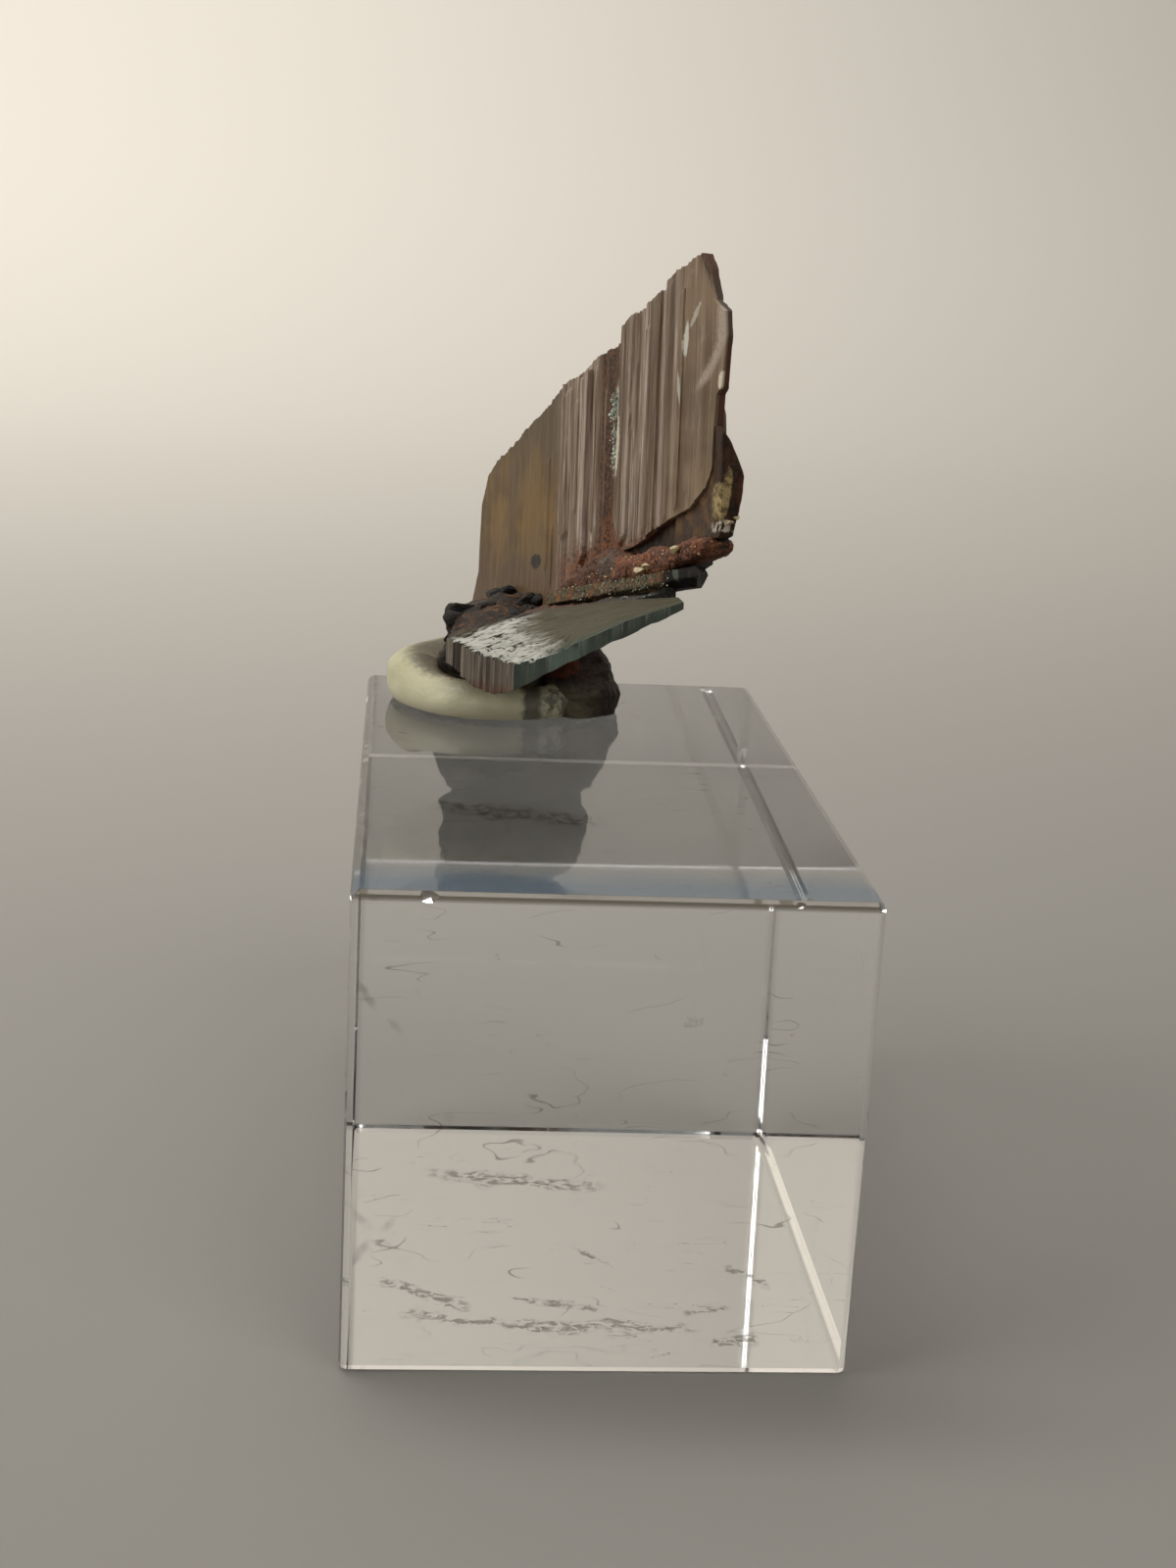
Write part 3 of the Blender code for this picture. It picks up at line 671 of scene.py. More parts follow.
def crustSkin(c):
    # formula: an oval section carried along the foot, pushed out by rounded grains of three sizes
    along = np.linspace(c["from"], c["to"], c["stations"])[:, None]
    turn = circle(c["around"])[None, :]
    middle, half, proud = (follow(c[key], along) for key in ("middle", "half", "proud"))
    halfDeep = (c["deep"] + proud) / 2
    depth = (c["deep"] - proud) / 2 - halfDeep * np.sign(np.cos(turn)) * np.abs(np.cos(turn)) ** 0.75
    up = middle + half * np.sign(np.sin(turn)) * np.abs(np.sin(turn)) ** 0.75
    spot = pack(along + 0 * up, depth, up)
    lumps = 0.16 * ripple(spot, (0.9, 0.9, 0.7), 81)
    lumps = lumps + 0.17 * (0.55 - grains(spot, 0.42, 82)) + 0.08 * (0.55 - grains(spot, 0.2, 86))
    taper = step(np.minimum(along - c["from"], c["to"] - along), 0, 0.5)
    centre = pack(along + 0 * up, (c["deep"] - proud) / 2 + 0 * up, middle + 0 * up)
    outward = spot - centre
    reach = np.linalg.norm(outward, axis=-1, keepdims=True)
    grown = centre + outward * (1 + lumps[..., None] / np.maximum(reach, 0.2)) * (0.25 + 0.75 * taper[..., None])
    return tubeThrough(fromSheaf(grown))


def crustFinish():
    f = Finish("rustyCrust")
    here, across, depth, up = f.axes()
    cloud = f.noise(here, 0.9, 4, 0.6)
    sugar = f.specks(here, 5)
    fine = f.noise(here, 9, 3, 0.7)
    colour = f.fade(cloud, 0.36, 0.64, (98, 56, 34), "rust")
    dusty = (f.noise(here, 0.5, 3) + across * 0.03).ramp(0.6, 0.44) * 0.5
    # one flat grey-brown grain sits in the rust
    flatGrain = f.spot(across, up, (-1.2, -0.1), (1.3, 0.7), fine * 0.8 - 0.4)
    glint = f.specks(here, 3.1).ramp(0.1, 0.05)
    colour = f.layers(colour, [
        (fine.ramp(0.54, 0.72) * 0.8, "brightRust"),
        (sugar.ramp(0.3, 0.55) * 0.6, (46, 26, 18)),
        (dusty, "deepBrown"),
        (flatGrain * 0.85, f.fade(fine, 0.4, 0.65, (66, 54, 44), (112, 94, 80))),
        (glint * 0.8, (230, 220, 205)),
    ])
    return f.done(colour, 0.75 - glint * 0.55, (sugar + fine * 0.6, 0.06, 0.9))


makePiece("rusty_crust", crustSkin(crust), [crustFinish()], sharp=50)
print("crust done")


# The dark lath below the crust, and the broken ground in front of it

darkLath = {
    "from": -8.6, "to": 10.2, "stations": 170, "around": 72,
    "left": [(-0.7, -1.5), (-0.75, -2.2), (0.7, -2.35), (0.8, -1.6)],
    "right": [(-0.55, 0), (-0.62, -0.55), (-0.1, -0.95), (0.75, -0.9), (0.8, -0.1)],
}
brokenGround = {
    "rows": 90, "columns": 220, "thick": 1.1,
    "back": [(-10.4, 0.7, -1.9), (-4, 0.6, -1.7), (0, 0.6, -1.4), (4, 0.4, -1.2), (6.4, 0, -1)],
    "front": [(-7.4, -5.7, -4), (-4.6, -5.7, -3.9), (-0.4, -5, -3.2), (2.8, -4.4, -2.8), (5.6, -3.7, -2.5)],
}


def darkLathSkin(c):
    # formula: a lath whose section swells to the right, with one end snapped off on the slant
    along, across, section = blendedBar(c, "left", "right")
    cut = 9.5 + 0.45 * (1 - np.abs(section[..., 1] + 0.5) / 0.5) - 1.35 * (section[..., 0] + 0.5)
    across = np.minimum(across, cut - 0.05 * (1 - along))
    spot = pack(across, section[..., 0], section[..., 1])
    wave = 0.04 * ripple(spot, (1.6, 0.4, 0.4), 91) + 0.02 * ripple(spot, (0.4, 0.2, 0.2), 92)
    return tubeThrough(fromSheaf(spot + wave[..., None]))


def groundSkin(c):
    # formula: a sloping sheet between two edge lines, roughened by grains, with thickness straight down
    column = np.linspace(0, 1, c["columns"])[None, :]
    row = np.linspace(0, 1, c["rows"])[:, None]
    back, front = (np.array(c[key], float) for key in ("back", "front"))
    steps = np.linspace(0, 1, len(back))
    backLine, frontLine = (columnsAt(column, steps, line) for line in (back, front))
    sheet = backLine + (frontLine - backLine) * row[..., None]
    rough = 0.12 * ripple(sheet, 0.9, 95) + 0.16 * (0.5 - grains(sheet, 0.5, 96))
    rough = rough + 0.07 * (0.5 - grains(sheet, 0.22, 97))
    upper = sheet + pack(0 * rough, 0 * rough, rough)
    lower = sheet - np.array((0, 0, c["thick"]))
    return skinBetween(fromSheaf(upper), fromSheaf(lower))


def glassyDarkFinish():
    f = Finish("glassyDark")
    here, across, depth, up = f.axes()
    streaks = f.noise(f.stretched(here, 0.15, 1, 1), 2.6, 3, 0.6)
    fine = f.noise(here, 4.5, 4, 0.7)
    # broken and sparkling on the left, smooth and nearly black at the free end
    broken = (across + fine * 2).ramp(7.6, 6.2)
    colour = f.layers(f.fade(fine, 0.45, 0.65, (80, 71, 54), (132, 120, 95)), [
        (fine.ramp(0.64, 0.74) * 0.7, (150, 148, 126)),
        (f.noise(here, 1, 3).ramp(0.52, 0.64) * 0.7, "rust"),
    ])
    smoothEnd = f.fade(across, 8.6, 8, (14, 9, 7), (17, 14, 11))
    colour = f.mix(broken, smoothEnd, colour)
    gleam = f.spot(across + up * 0.5, up, (7.3, -0.35), (0.35, 0.5), fine - 0.5)
    colour = f.mix(gleam * 0.4, colour, (112, 120, 106))
    return f.done(colour, broken.ramp(0, 1, 0.5, 0.62),
        (streaks + fine * broken * 2, 0.08, 0.8), Specular_IOR_Level=0.12)


def groundFinish():
    f = Finish("brokenGroundFinish")
    here, across, depth, up = f.axes()
    cloud = f.noise(here, 0.7, 4, 0.65)
    sugar = f.specks(here, 4.2)
    colour = f.fade(cloud, 0.35, 0.6, (34, 32, 26), (74, 70, 56))
    glint = f.specks(here, 2.4).ramp(0.13, 0.07)
    colour = f.layers(colour, [
        ((cloud + across * 0.04).ramp(0.52, 0.3) * 0.8, (104, 62, 34)),
        (sugar.ramp(0.28, 0.5) * 0.6, "nearBlack"),
        (glint, (236, 236, 226)),
    ])
    return f.done(colour, 0.65 - glint * 0.35, (sugar + cloud, 0.08, 0.9))


makePiece("dark_lath", darkLathSkin(darkLath), [glassyDarkFinish()])
makePiece("broken_ground", groundSkin(brokenGround), [groundFinish()], sharp=50)


# The blue-green blade: a plate with a frosted broken top and a grooved left end

blueBlade = {
    "rows": 130, "columns": 260,
    # along, depth, height and thickness of the corners of each of its four sides
    "back": [(-8.35, -6.65, -4.15, 1.3), (-3.7, -5.2, -2.9, 2), (-0.1, -4.5, -2.5, 1.8),
        (3.1, -4, -2.2, 1.4), (7.9, -3.3, -1.8, 0.9), (12.1, -2.62, -1.6, 0.35)],
    "front": [(1.7, -6.6, -5.3, 1.25), (3, -6.2, -5, 1.1), (5, -5.6, -4.4, 0.9), (7.3, -4.8, -3.6, 0.8),
        (9.4, -4, -2.8, 0.75), (13.2, -2.85, -1.85, 0.3)],
    "left": [(-8.35, -6.65, -4.15, 1.3), (-5.4, -6.8, -4.6, 1.6), (-3.5, -6.8, -4.85, 1.85),
        (-0.7, -6.7, -5.1, 1.8), (1.7, -6.6, -5.3, 1.25)],
}


def alongLine(line, share):
    # a place on a broken line of corners, by its share of the whole length
    corners = np.array(line, float)
    runs = np.concatenate([[0], np.cumsum(np.linalg.norm(np.diff(corners[:, :3], axis=0), axis=1))])
    return columnsAt(share * runs[-1], runs, corners)


def blueBladeSkin(c):
    # formula: a patch stretched between four edge lines; the top is flaked near its left end, and the
    # left end carries upright grooves that fade into the plate
    s = np.linspace(0, 1, c["columns"]) ** 1.25
    r = np.linspace(0, 1, c["rows"])
    back, front = alongLine(c["back"], s)[None], alongLine(c["front"], s)[None]
    left = alongLine(c["left"], r)[:, None]
    right = back[:, -1:] + (front[:, -1:] - back[:, -1:]) * r[:, None, None]
    sn, rn = s[None, :, None], r[:, None, None]
    corners = (1 - sn) * ((1 - rn) * left[:1] + rn * left[-1:]) + sn * ((1 - rn) * right[:1] + rn * right[-1:])
    patch = (1 - rn) * back + rn * front + (1 - sn) * left + sn * right - corners
    place, drop = patch[..., :3], patch[..., 3]
    sg, rg = s[None, :] + 0 * r[:, None], r[:, None] + 0 * s[None, :]
    spot = pack(sg * 18, rg * 9, 0 * sg)
    slant = pack(sg * 18 - rg * 5, rg * 9 + sg * 6, 0 * sg)
    flaked = step(0.42 - sg - 0.1 * ripple(spot, 2, 101), 0, 0.16)
    flakes = ledges(slant[..., 1] + 0.3 * ripple(spot, 1.5, 102), -2, 22, 0.35, 0.09, 103)
    top = -0.08 * flaked + flaked * flakes + 0.02 * ripple(spot, (4, 0.6, 1), 104)
    pits = step(0.36 - grains(slant, (1.6, 0.5, 1), 105), 0, 0.2) * flaked
    top = top - 0.16 * pits + 0.05 * ripple(spot, 5, 108) * (1 - sg)
    groove = ledges(rg * 11, -1, 12, 0.5, 0.13, 106) + ledges(rg * 11, -1, 12, 0.16, 0.05, 107)
    fade = step(0.03 - sg, 0, 0.03)
    frontLine = 0.03 * ripple(pack(sg * 30, 0 * sg, 0 * sg), 1, 109) * step(rg, 0.97, 1)
    place = place.copy()
    place[..., 1] += groove * fade + frontLine
    upper = place.copy()
    upper[..., 2] += top
    lower = place.copy()
    lower[..., 2] -= drop + 0.08 * ripple(spot, (1.2, 1.2, 1), 110)
    points, faces = skinBetween(fromSheaf(upper), fromSheaf(lower))
    # finishes: 0 on top, 1 on the rim's left side, 2 on its front, 3 on the underside and the rest
    wide, deep = c["columns"] - 1, c["rows"] - 1
    groups = np.repeat([0, 3, 3, 3, 2, 1], [wide * deep, wide * deep, wide, deep, wide, deep])
    uv = np.concatenate([pack(sg, rg).reshape(-1, 2)] * 2)
    return points, faces, groups, uv


def blueTopFinish():
    f = Finish("blueBladeTop")
    flat = f.add("TexCoord", {}, {}, "UV")
    s, r = f.parts(flat)[:2]
    grainy = f.noise(f.stretched(flat, 9, 26, 1), 1.6, 4, 0.65)
    slanted = f.add("Mapping", {"vector_type": "POINT"}, {
        "Vector": flat, "Rotation": (0, 0, -0.42), "Scale": (10, 34, 1)})
    streaks = f.noise(slanted, 1.2, 3, 0.6)
    broad = f.noise(f.stretched(flat, 5, 9, 1), 1, 3, 0.6)
    body = f.fade(broad + r * 0.35, 0.4, 0.75, (62, 54, 38), (70, 67, 50))
    greenEdge = (r + broad * 0.12).ramp(0.9, 1.04)
    frosted = (s + broad * 0.36 + grainy * 0.12 + r * 0.08).ramp(0.65, 0.47)
    frosted = frosted * r.ramp(0.02, 0.1)
    whiteness = frosted * (streaks + grainy * 0.4).ramp(0.56, 0.74)
    black = frosted * streaks.ramp(0.43, 0.37)
    teeth = (s + streaks * 0.03).ramp(0.035, 0.018) * grainy.ramp(0.42, 0.56)
    darkBack = (r + grainy * 0.12).ramp(0.2, 0.08) * s.ramp(0.42, 0.3) * broad.ramp(0.42, 0.52)
    paleLine = r.ramp(0.985, 0.996)
    body = f.layers(body, [
        (grainy.ramp(0.45, 0.75) * 0.4, (98, 90, 68)),
        (greenEdge * 0.6, (52, 64, 52)),
        (frosted * 0.5, (104, 100, 88)),
        (whiteness, (178, 177, 168)),
        (black * 0.9, (24, 20, 15)),
        (teeth, "nearBlack"),
        (darkBack * 0.85, "nearBlack"),
        (paleLine * 0.5, "paleTeal"),
    ])
    return f.done(body, frosted.ramp(0, 1, 0.42, 0.7), (grainy + streaks, 0.05, 0.8), Specular_IOR_Level=0.25)


def groovedSideFinish():
    f = Finish("groovedSide")
    here, across, depth, up = f.axes()
    streaks = f.noise(f.stretched(here, 1, 1, 0.05), 2.6, 3, 0.6)
    fine = f.noise(f.stretched(here, 1, 1, 0.08), 9, 2, 0.6)
    colour = f.fade(streaks, 0.38, 0.62, (66, 55, 43), (104, 94, 80))
    darkGroove = (across + 6.6).size().ramp(0.55, 0.25)
    foot = (up + across * 0.03 + streaks * 0.5).ramp(-5.9, -6.5)
    colour = f.layers(colour, [
        (fine.ramp(0.6, 0.74) * 0.6, (140, 130, 122)),
        (darkGroove * 0.8, (34, 25, 20)),
        (foot * 0.85, (84, 52, 32)),
    ])
    return f.done(colour, 0.42, (streaks + fine * 0.4, 0.08, 0.8))


def tealSideFinish():
    f = Finish("tealSide")
    here = f.place()
    streaks = f.noise(f.stretched(here, 1, 1, 0.04), 3.2, 3, 0.6)
    across, depth, up = f.parts(here)
    colour = f.layers(f.fade(streaks, 0.46, 0.74, "teal", (66, 78, 62)), [
        (f.noise(here, 0.6, 2).ramp(0.5, 0.68) * 0.6, (22, 28, 21)),
        (across.ramp(6.6, 9) * 0.6, (30, 36, 26)),
        (f.spot(across, up, (5.6, -5.2), (1, 1.2), streaks - 0.5) * 0.3, (98, 118, 104)),
    ])
    return f.done(colour, 0.34, (streaks, 0.06, 0.8), Specular_IOR_Level=0.4)


def underFinish():
    f = Finish("shadedUnderside")
    here = f.place(inSheaf=False)
    cloud = f.noise(here, 0.6, 4, 0.6)
    colour = f.fade(cloud, 0.4, 0.62, (40, 34, 28), (78, 64, 50))
    return f.done(colour, 0.5, (f.noise(here, 2.5, 4, 0.6), 0.1, 0.7))


skin = blueBladeSkin(blueBlade)
makePiece("blue_blade", skin, [blueTopFinish(), groovedSideFinish(), tealSideFinish(), underFinish()],
        groups=skin[2], uv=skin[3], sharp=40)
print("blue blade done")


# The dark root and its stubs

root = {
    # place from the middle of the block's top (x, y, height), reach to the side and reach upwards
    "trunk": [(-1.4, 15.6, 1, 2.4, 0.6), (-2.6, 14.6, 3.2, 3.6, 1.9), (-3.2, 12.4, 4.9, 4.2, 2.2),
        (-3.3, 9.2, 6.2, 4.5, 2.1), (-3.6, 6.2, 6.9, 4.1, 1.7), (-5, 2.6, 7, 2.9, 1.2),
        (-6.3, -1, 7.1, 1.7, 0.8), (-6.5, -2, 7.2, 0.8, 0.4)],
    "stump": [(0.4, 14.1, 0.32, 2.75, 3.3), (0.4, 14.2, 1.6, 2.75, 3.1), (0.1, 14.2, 3, 2.45, 2.6),
        (-0.5, 13.4, 4.4, 2.1, 2), (-1, 12.8, 5.4, 1.2, 1.2)],
    "skirt": [(-4.4, 15.2, 0.32, 3.4, 3.2), (-4.4, 15, 1.6, 3.8, 3.6), (-4.5, 14.4, 3, 3.8, 3.4),
        (-4.5, 13.8, 4.2, 3.3, 2.8), (-4.4, 13.2, 5.4, 2.4, 2)],
    "stations": 110, "around": 120, "gap": 0.32,
}
rootStubs = [
    # place from the middle of the block's top, reach, turn
    ((-7.4, 4.2, 7.5), 0.55, 20), ((-7, 5.2, 7.7), 0.74, 55), ((-7.3, 5.7, 7), 0.5, 10),
    ((-7.2, 6.8, 6.5), 0.5, 35), ((-6.9, 8.6, 6.3), 0.6, 70), ((-4.3, 9.6, 8), 0.78, 15),
    ((-4.8, 10.4, 7.8), 0.7, 75), ((-3.2, 5.8, 8.2), 0.64, 40), ((-2.6, 5.5, 8.4), 0.48, 30),
    ((-4.1, 3.1, 8.1), 0.48, 5), ((-4.7, 3.4, 8), 0.36, 30), ((-3.4, 4, 8.2), 0.34, 80),
    ((-3.2, 12.8, 6.5), 0.8, 25), ((1, 13.4, 4), 0.7, 65), ((-7.2, 10.8, 5), 0.6, 45),
    ((-7.2, 1.6, 7.2), 0.4, 62), ((-5.6, 5.6, 7.9), 0.52, 12), ((-6.2, 4.6, 7.9), 0.58, 50),
]


def facets(directions, seed, count, low, high):
    # reach to the nearest of a set of random planes, which gives flat broken faces
    rng = np.random.default_rng(seed)
    normals = rng.normal(size=(count, 3))
    normals /= np.linalg.norm(normals, axis=1, keepdims=True)
    offsets = rng.uniform(low, high, count)
    facing = np.maximum(directions @ normals.T, 1e-3)
    return (offsets / facing).min(-1)


def trunkSkin(line, c, seed, upright):
    # formula: ovals carried along a bent line, pushed by broad facets and small breakage
    share = np.linspace(0, 1, c["stations"])
    line = np.array(line, float)
    steps = np.linspace(0, 1, len(line))
    smooth = columnsAt(share, steps, line)
    for _ in range(6):
        smooth[1:-1] = (smooth[:-2] + 2 * smooth[1:-1] + smooth[2:]) / 4
    middle = smooth[:, None, :3]
    turn = circle(c["around"])[None, :, None]
    sideways = np.array((1, 0, 0))
    other = np.array((0, 1, 0)) if upright else np.array((0, 0, 1))
    sideReach, upReach = smooth[:, 3][:, None, None], smooth[:, 4][:, None, None]
    outward = np.cos(turn) * sideways * sideReach + np.sin(turn) * other * upReach
    ends = np.where(share < 0.5, 0, share * 2 - 1) if upright else np.abs(share * 2 - 1)
    closing = np.sqrt(np.clip(1 - ends ** 14, 0.02, 1))[:, None, None]
    skin = middle + outward * closing
    spot = skin + 0.25 * ripple(skin, 1.3, seed)[..., None]
    rough = 0.3 * ripple(spot, 1.7, seed + 1) + 0.3 * (0.55 - grains(spot, (1.5, 1.5, 1.1), seed + 2))
    rough = rough + 0.12 * (0.5 - grains(spot, 0.5, seed + 5)) + 0.05 * ripple(spot, 0.25, seed + 8)
    unit = outward / np.maximum(np.linalg.norm(outward, axis=-1, keepdims=True), 1e-6)
    skin = skin + unit * rough[..., None] * closing - unit * 0.15
    skin[..., 2] = np.maximum(skin[..., 2], c["gap"])
    return tubeThrough(skin + topMiddle)


def stubSkin(place, reach, turn, seed):
    # formula: a globe of directions, each reaching to its nearest facet
    up = np.linspace(-0.985, 0.985, 22)[:, None]
    around = circle(36)[None, :] + math.radians(turn)
    flat = np.sqrt(1 - up ** 2)
    directions = pack(flat * np.cos(around), flat * np.sin(around), up + 0 * around)
    far = facets(directions, seed, 11, 0.62, 1)
    points = directions * np.minimum(far, 1.25)[..., None] * reach * np.array((1.15, 1, 0.85))
    return tubeThrough(points + np.array(place) + topMiddle)


def joined(skins):
    # several closed skins in one mesh
    points, faces, count = [], [], 0
    for skinPoints, skinFaces in skins:
        points.append(skinPoints)
        faces.append(skinFaces if signedVolume(skinPoints, skinFaces) > 0 else skinFaces[:, ::-1])
        faces[-1] = faces[-1] + count
        count += len(skinPoints)
    return np.concatenate(points), np.concatenate(faces)


def rootFinish(name, warm, dark, light):
    f = Finish(name)
    here, across, along, up = f.axes(inSheaf=False)
    cloud = f.noise(here, 0.42, 4, 0.6)
    fine = f.noise(here, 3.2, 4, 0.6)
    colour = f.fade(cloud, 0.42, 0.6, dark, light)
    # light comes through the thin upper part and one place low on the right
    glow = (along + cloud * 4).ramp(15, 11.5) * up.ramp(blockTop + 5.2, blockTop + 6.4)
    ember = f.spot(across, up, (-1.2, blockTop + 3.4), (1.6, 0.9), fine * 1.2 - 0.6) * along.ramp(15, 13.5)
    # putty smeared up the root's foot
    smeared = (up + fine * 1.2).ramp(blockTop + 3.2, blockTop + 2) * (across + cloud * 3).ramp(4.2, 1.6)
    colour = f.layers(colour, [
        (fine.ramp(0.6, 0.78) * 0.35, (84, 72, 58)),
        (glow * warm, f.fade(fine + cloud, 1.02, 1.22, (40, 30, 22), (104, 70, 44))),
        (ember * 0.8 * warm, (92, 50, 30)),
        (smeared * along.ramp(15, 13.5) * 0.55, (104, 96, 72)),
    ])
    return f.done(colour, fine.ramp(0.3, 0.7, 0.4, 0.7), (fine, 0.16, 0.9), Specular_IOR_Level=0.22)


darkRoot = rootFinish("darkRoot", 1, (14, 10, 8), (40, 28, 20))
greyRoot = rootFinish("greyRoot", 0.3, (34, 27, 20), (98, 88, 70))
blackStub = rootFinish("blackStub", 0, (12, 9, 7), (34, 28, 23))
for name, finish, seed in (("trunk", darkRoot, 121), ("stump", darkRoot, 141), ("skirt", greyRoot, 131)):
    makePiece("root_" + name, trunkSkin(root[name], root, seed, upright=name != "trunk"), [finish], sharp=40)
stubs = [stubSkin(*stub, 160 + n) for n, stub in enumerate(rootStubs)]
makePiece("root_stubs", joined(stubs), [blackStub], sharp=25)
print("root done")


# Small loose grains: druse in the crack, sugar on the crust, cream and glassy grains

grainSets = {
    "crack_druse": {"count": 220, "size": (0.04, 0.12), "seed": 201, "along": (-3.3, -2),
        "up": (4.6, 9.2), "depth": (0.22, 0.4)},
    "crust_sugar": {"count": 300, "size": (0.03, 0.11), "seed": 202, "along": (-8.5, 9.6),
        "up": (-0.9, 0.9), "depth": (-0.62, -0.3)},
    "lath_sugar": {"count": 150, "size": (0.03, 0.09), "seed": 203, "along": (-4.5, 7),
        "up": (0, 1), "depth": (-0.72, -0.58)},
}


def tinyCrystals(places, sizes, seed):
    # formula: each is an eight-sided double pyramid with its own turn and stretch
    rng = np.random.default_rng(seed)
    base = np.array([(1, 0, 0), (0, 1, 0), (-1, 0, 0), (0, -1, 0), (0, 0, 1.3), (0, 0, -1.3)], float)
    sides = np.array([(0, 1, 4), (1, 2, 4), (2, 3, 4), (3, 0, 4), (1, 0, 5), (2, 1, 5), (3, 2, 5), (0, 3, 5)])
    turns = rng.normal(size=(len(places), 3, 3))
    axes = np.linalg.qr(turns)[0]
    stretch = rng.uniform(0.7, 1.3, (len(places), 1, 3))
    corners = np.einsum("nij,nkj->nki", axes, base[None] * stretch) * sizes[:, None, None]
    points = (corners + places[:, None]).reshape(-1, 3)
    faces = (sides[None] + 6 * np.arange(len(places))[:, None, None]).reshape(-1, 3)
    flip = np.repeat(np.linalg.det(axes) < 0, 8)
    faces[flip] = faces[flip][:, ::-1]
    return points, np.concatenate([faces, faces[:, -1:]], axis=1)


def scattered(c):
    rng = np.random.default_rng(c["seed"])
    along = rng.uniform(*c["along"], c["count"])
    up = rng.uniform(*c["up"], c["count"])
    depth = rng.uniform(*c["depth"], c["count"])
    sizes = rng.uniform(*c["size"], c["count"]) * rng.uniform(0.5, 1, c["count"])
    return along, depth, up, sizes


def grainFinish(name, pale, dark, roughness):
    f = Finish(name)
    here = f.place()
    patch = f.noise(here, 2, 3)
    return f.set(Base_Color=f.fade(patch, 0.4, 0.62, dark, pale), Roughness=roughness, Coat_Weight=0.6).material


along, depth, up, sizes = scattered(grainSets["crack_druse"])
along = -2.55 + (along + 2.65) * (0.15 + 0.5 * np.sin(up * 2.6) ** 2) - 0.1 * (up - 6.9)
makePiece("crack_druse", tinyCrystals(fromSheaf(pack(along, depth, up)), sizes, 211),
        [grainFinish("druse", "druse", "mauve", 0.4)], sharp=10)
along, depth, up, sizes = scattered(grainSets["crust_sugar"])
place = pack(along, -follow(crust["proud"], along) * (1.02 - 0.5 * np.abs(up)) + 0.02,
        follow(crust["middle"], along) + up * follow(crust["half"], along) * 0.85)
makePiece("crust_sugar", tinyCrystals(fromSheaf(place), sizes, 212),
        [grainFinish("sugar", "cream", "brightRust", 0.25)], sharp=10)
along, depth, up, sizes = scattered(grainSets["lath_sugar"])
level = follow([(-8.6, -1.55), (9.7, -0.05)], along) - up * 0.75
makePiece("lath_sugar", tinyCrystals(fromSheaf(pack(along, depth, level)), sizes, 213),
        [grainFinish("glassyGrains", (190, 188, 164), (60, 60, 46), 0.15)], sharp=10)
chips = [
    # along, depth, height, reach
    (3.6, -0.72, -0.3, 0.24), (4.2, -0.7, -0.05, 0.16), (7.2, -0.62, 0.75, 0.22), (10.7, 0.55, 2.05, 0.2),
    (10.6, 0.95, 2.35, 0.16),
]
skins = []
for n, (chipAlong, chipDepth, chipUp, reach) in enumerate(chips):
    middle = fromSheaf([(chipAlong, chipDepth, chipUp)])[0] - topMiddle
    skins.append(stubSkin(middle, reach, 30 * n, 220 + n))
makePiece("cream_chips", joined(skins), [grainFinish("creamChips", "cream", (170, 150, 104), 0.5)], sharp=25)
print("grains done")


# The putty

putty = {
    "centre": (-4.1, 16.1), "reach": (7.15, 6.55), "top": 4, "gap": 0.32,
    "rings": 120, "around": 220,
}


def puttySkin(c):
    # formula: a round roll about an oval, its height falling to the front right, with the middle
    # pressed in where the root stands
    share = np.linspace(0, 1, c["rings"])[:, None]
    turn = circle(c["around"])[None, :]
    tilt = np.radians(-32 + 122 * np.clip(share / 0.5, 0, 1))
    roll = 0.76 + 0.25 * np.cos(tilt)
    inward = np.clip((share - 0.5) / 0.5, 0, 1)
    swell = np.where(share < 0.5, roll, 0.76 * (1 - inward))
    lift = np.where(share < 0.5, 0.5 + 0.5 * np.sin(tilt), 1 - 0.16 * step(inward, 0, 0.5))
    bottom = lift[0, 0]
    lift = (lift - bottom) / (1 - bottom)
    bulge = 1 + 0.02 * np.sin(3 * turn + 0.6) - 0.08 * np.maximum(0, np.cos(turn + 0.5))
    slope = 1 - 0.5 * np.maximum(0, np.cos(turn + 1.35)) ** 0.8 - 0.28 * np.maximum(0, np.cos(turn - 2.75))
    x = c["centre"][0] + c["reach"][0] * swell * bulge * np.cos(turn)
    y = c["centre"][1] + c["reach"][1] * swell * bulge * np.sin(turn)
    pressed = np.exp(-((x + 2.6) / 3.6) ** 2 - ((y - 14.2) / 3) ** 2)
    height = c["gap"] + (c["top"] - c["gap"]) * lift * slope - 1.7 * pressed * step(share, 0.42, 0.66)
    spot = pack(x, y, height)
    soft = 0.24 * ripple(spot, 2.9, 231) + 0.07 * ripple(spot, 1.1, 232)
    outward = pack(np.cos(turn) * swell, np.sin(turn) * swell, 0.5 * lift + 0 * turn)
    skin = spot + outward * soft[..., None] * step(share, 0, 0.3)[..., None]
    skin[..., 2] = np.clip(skin[..., 2], c["gap"], c["top"])
    return tubeThrough(skin + topMiddle)


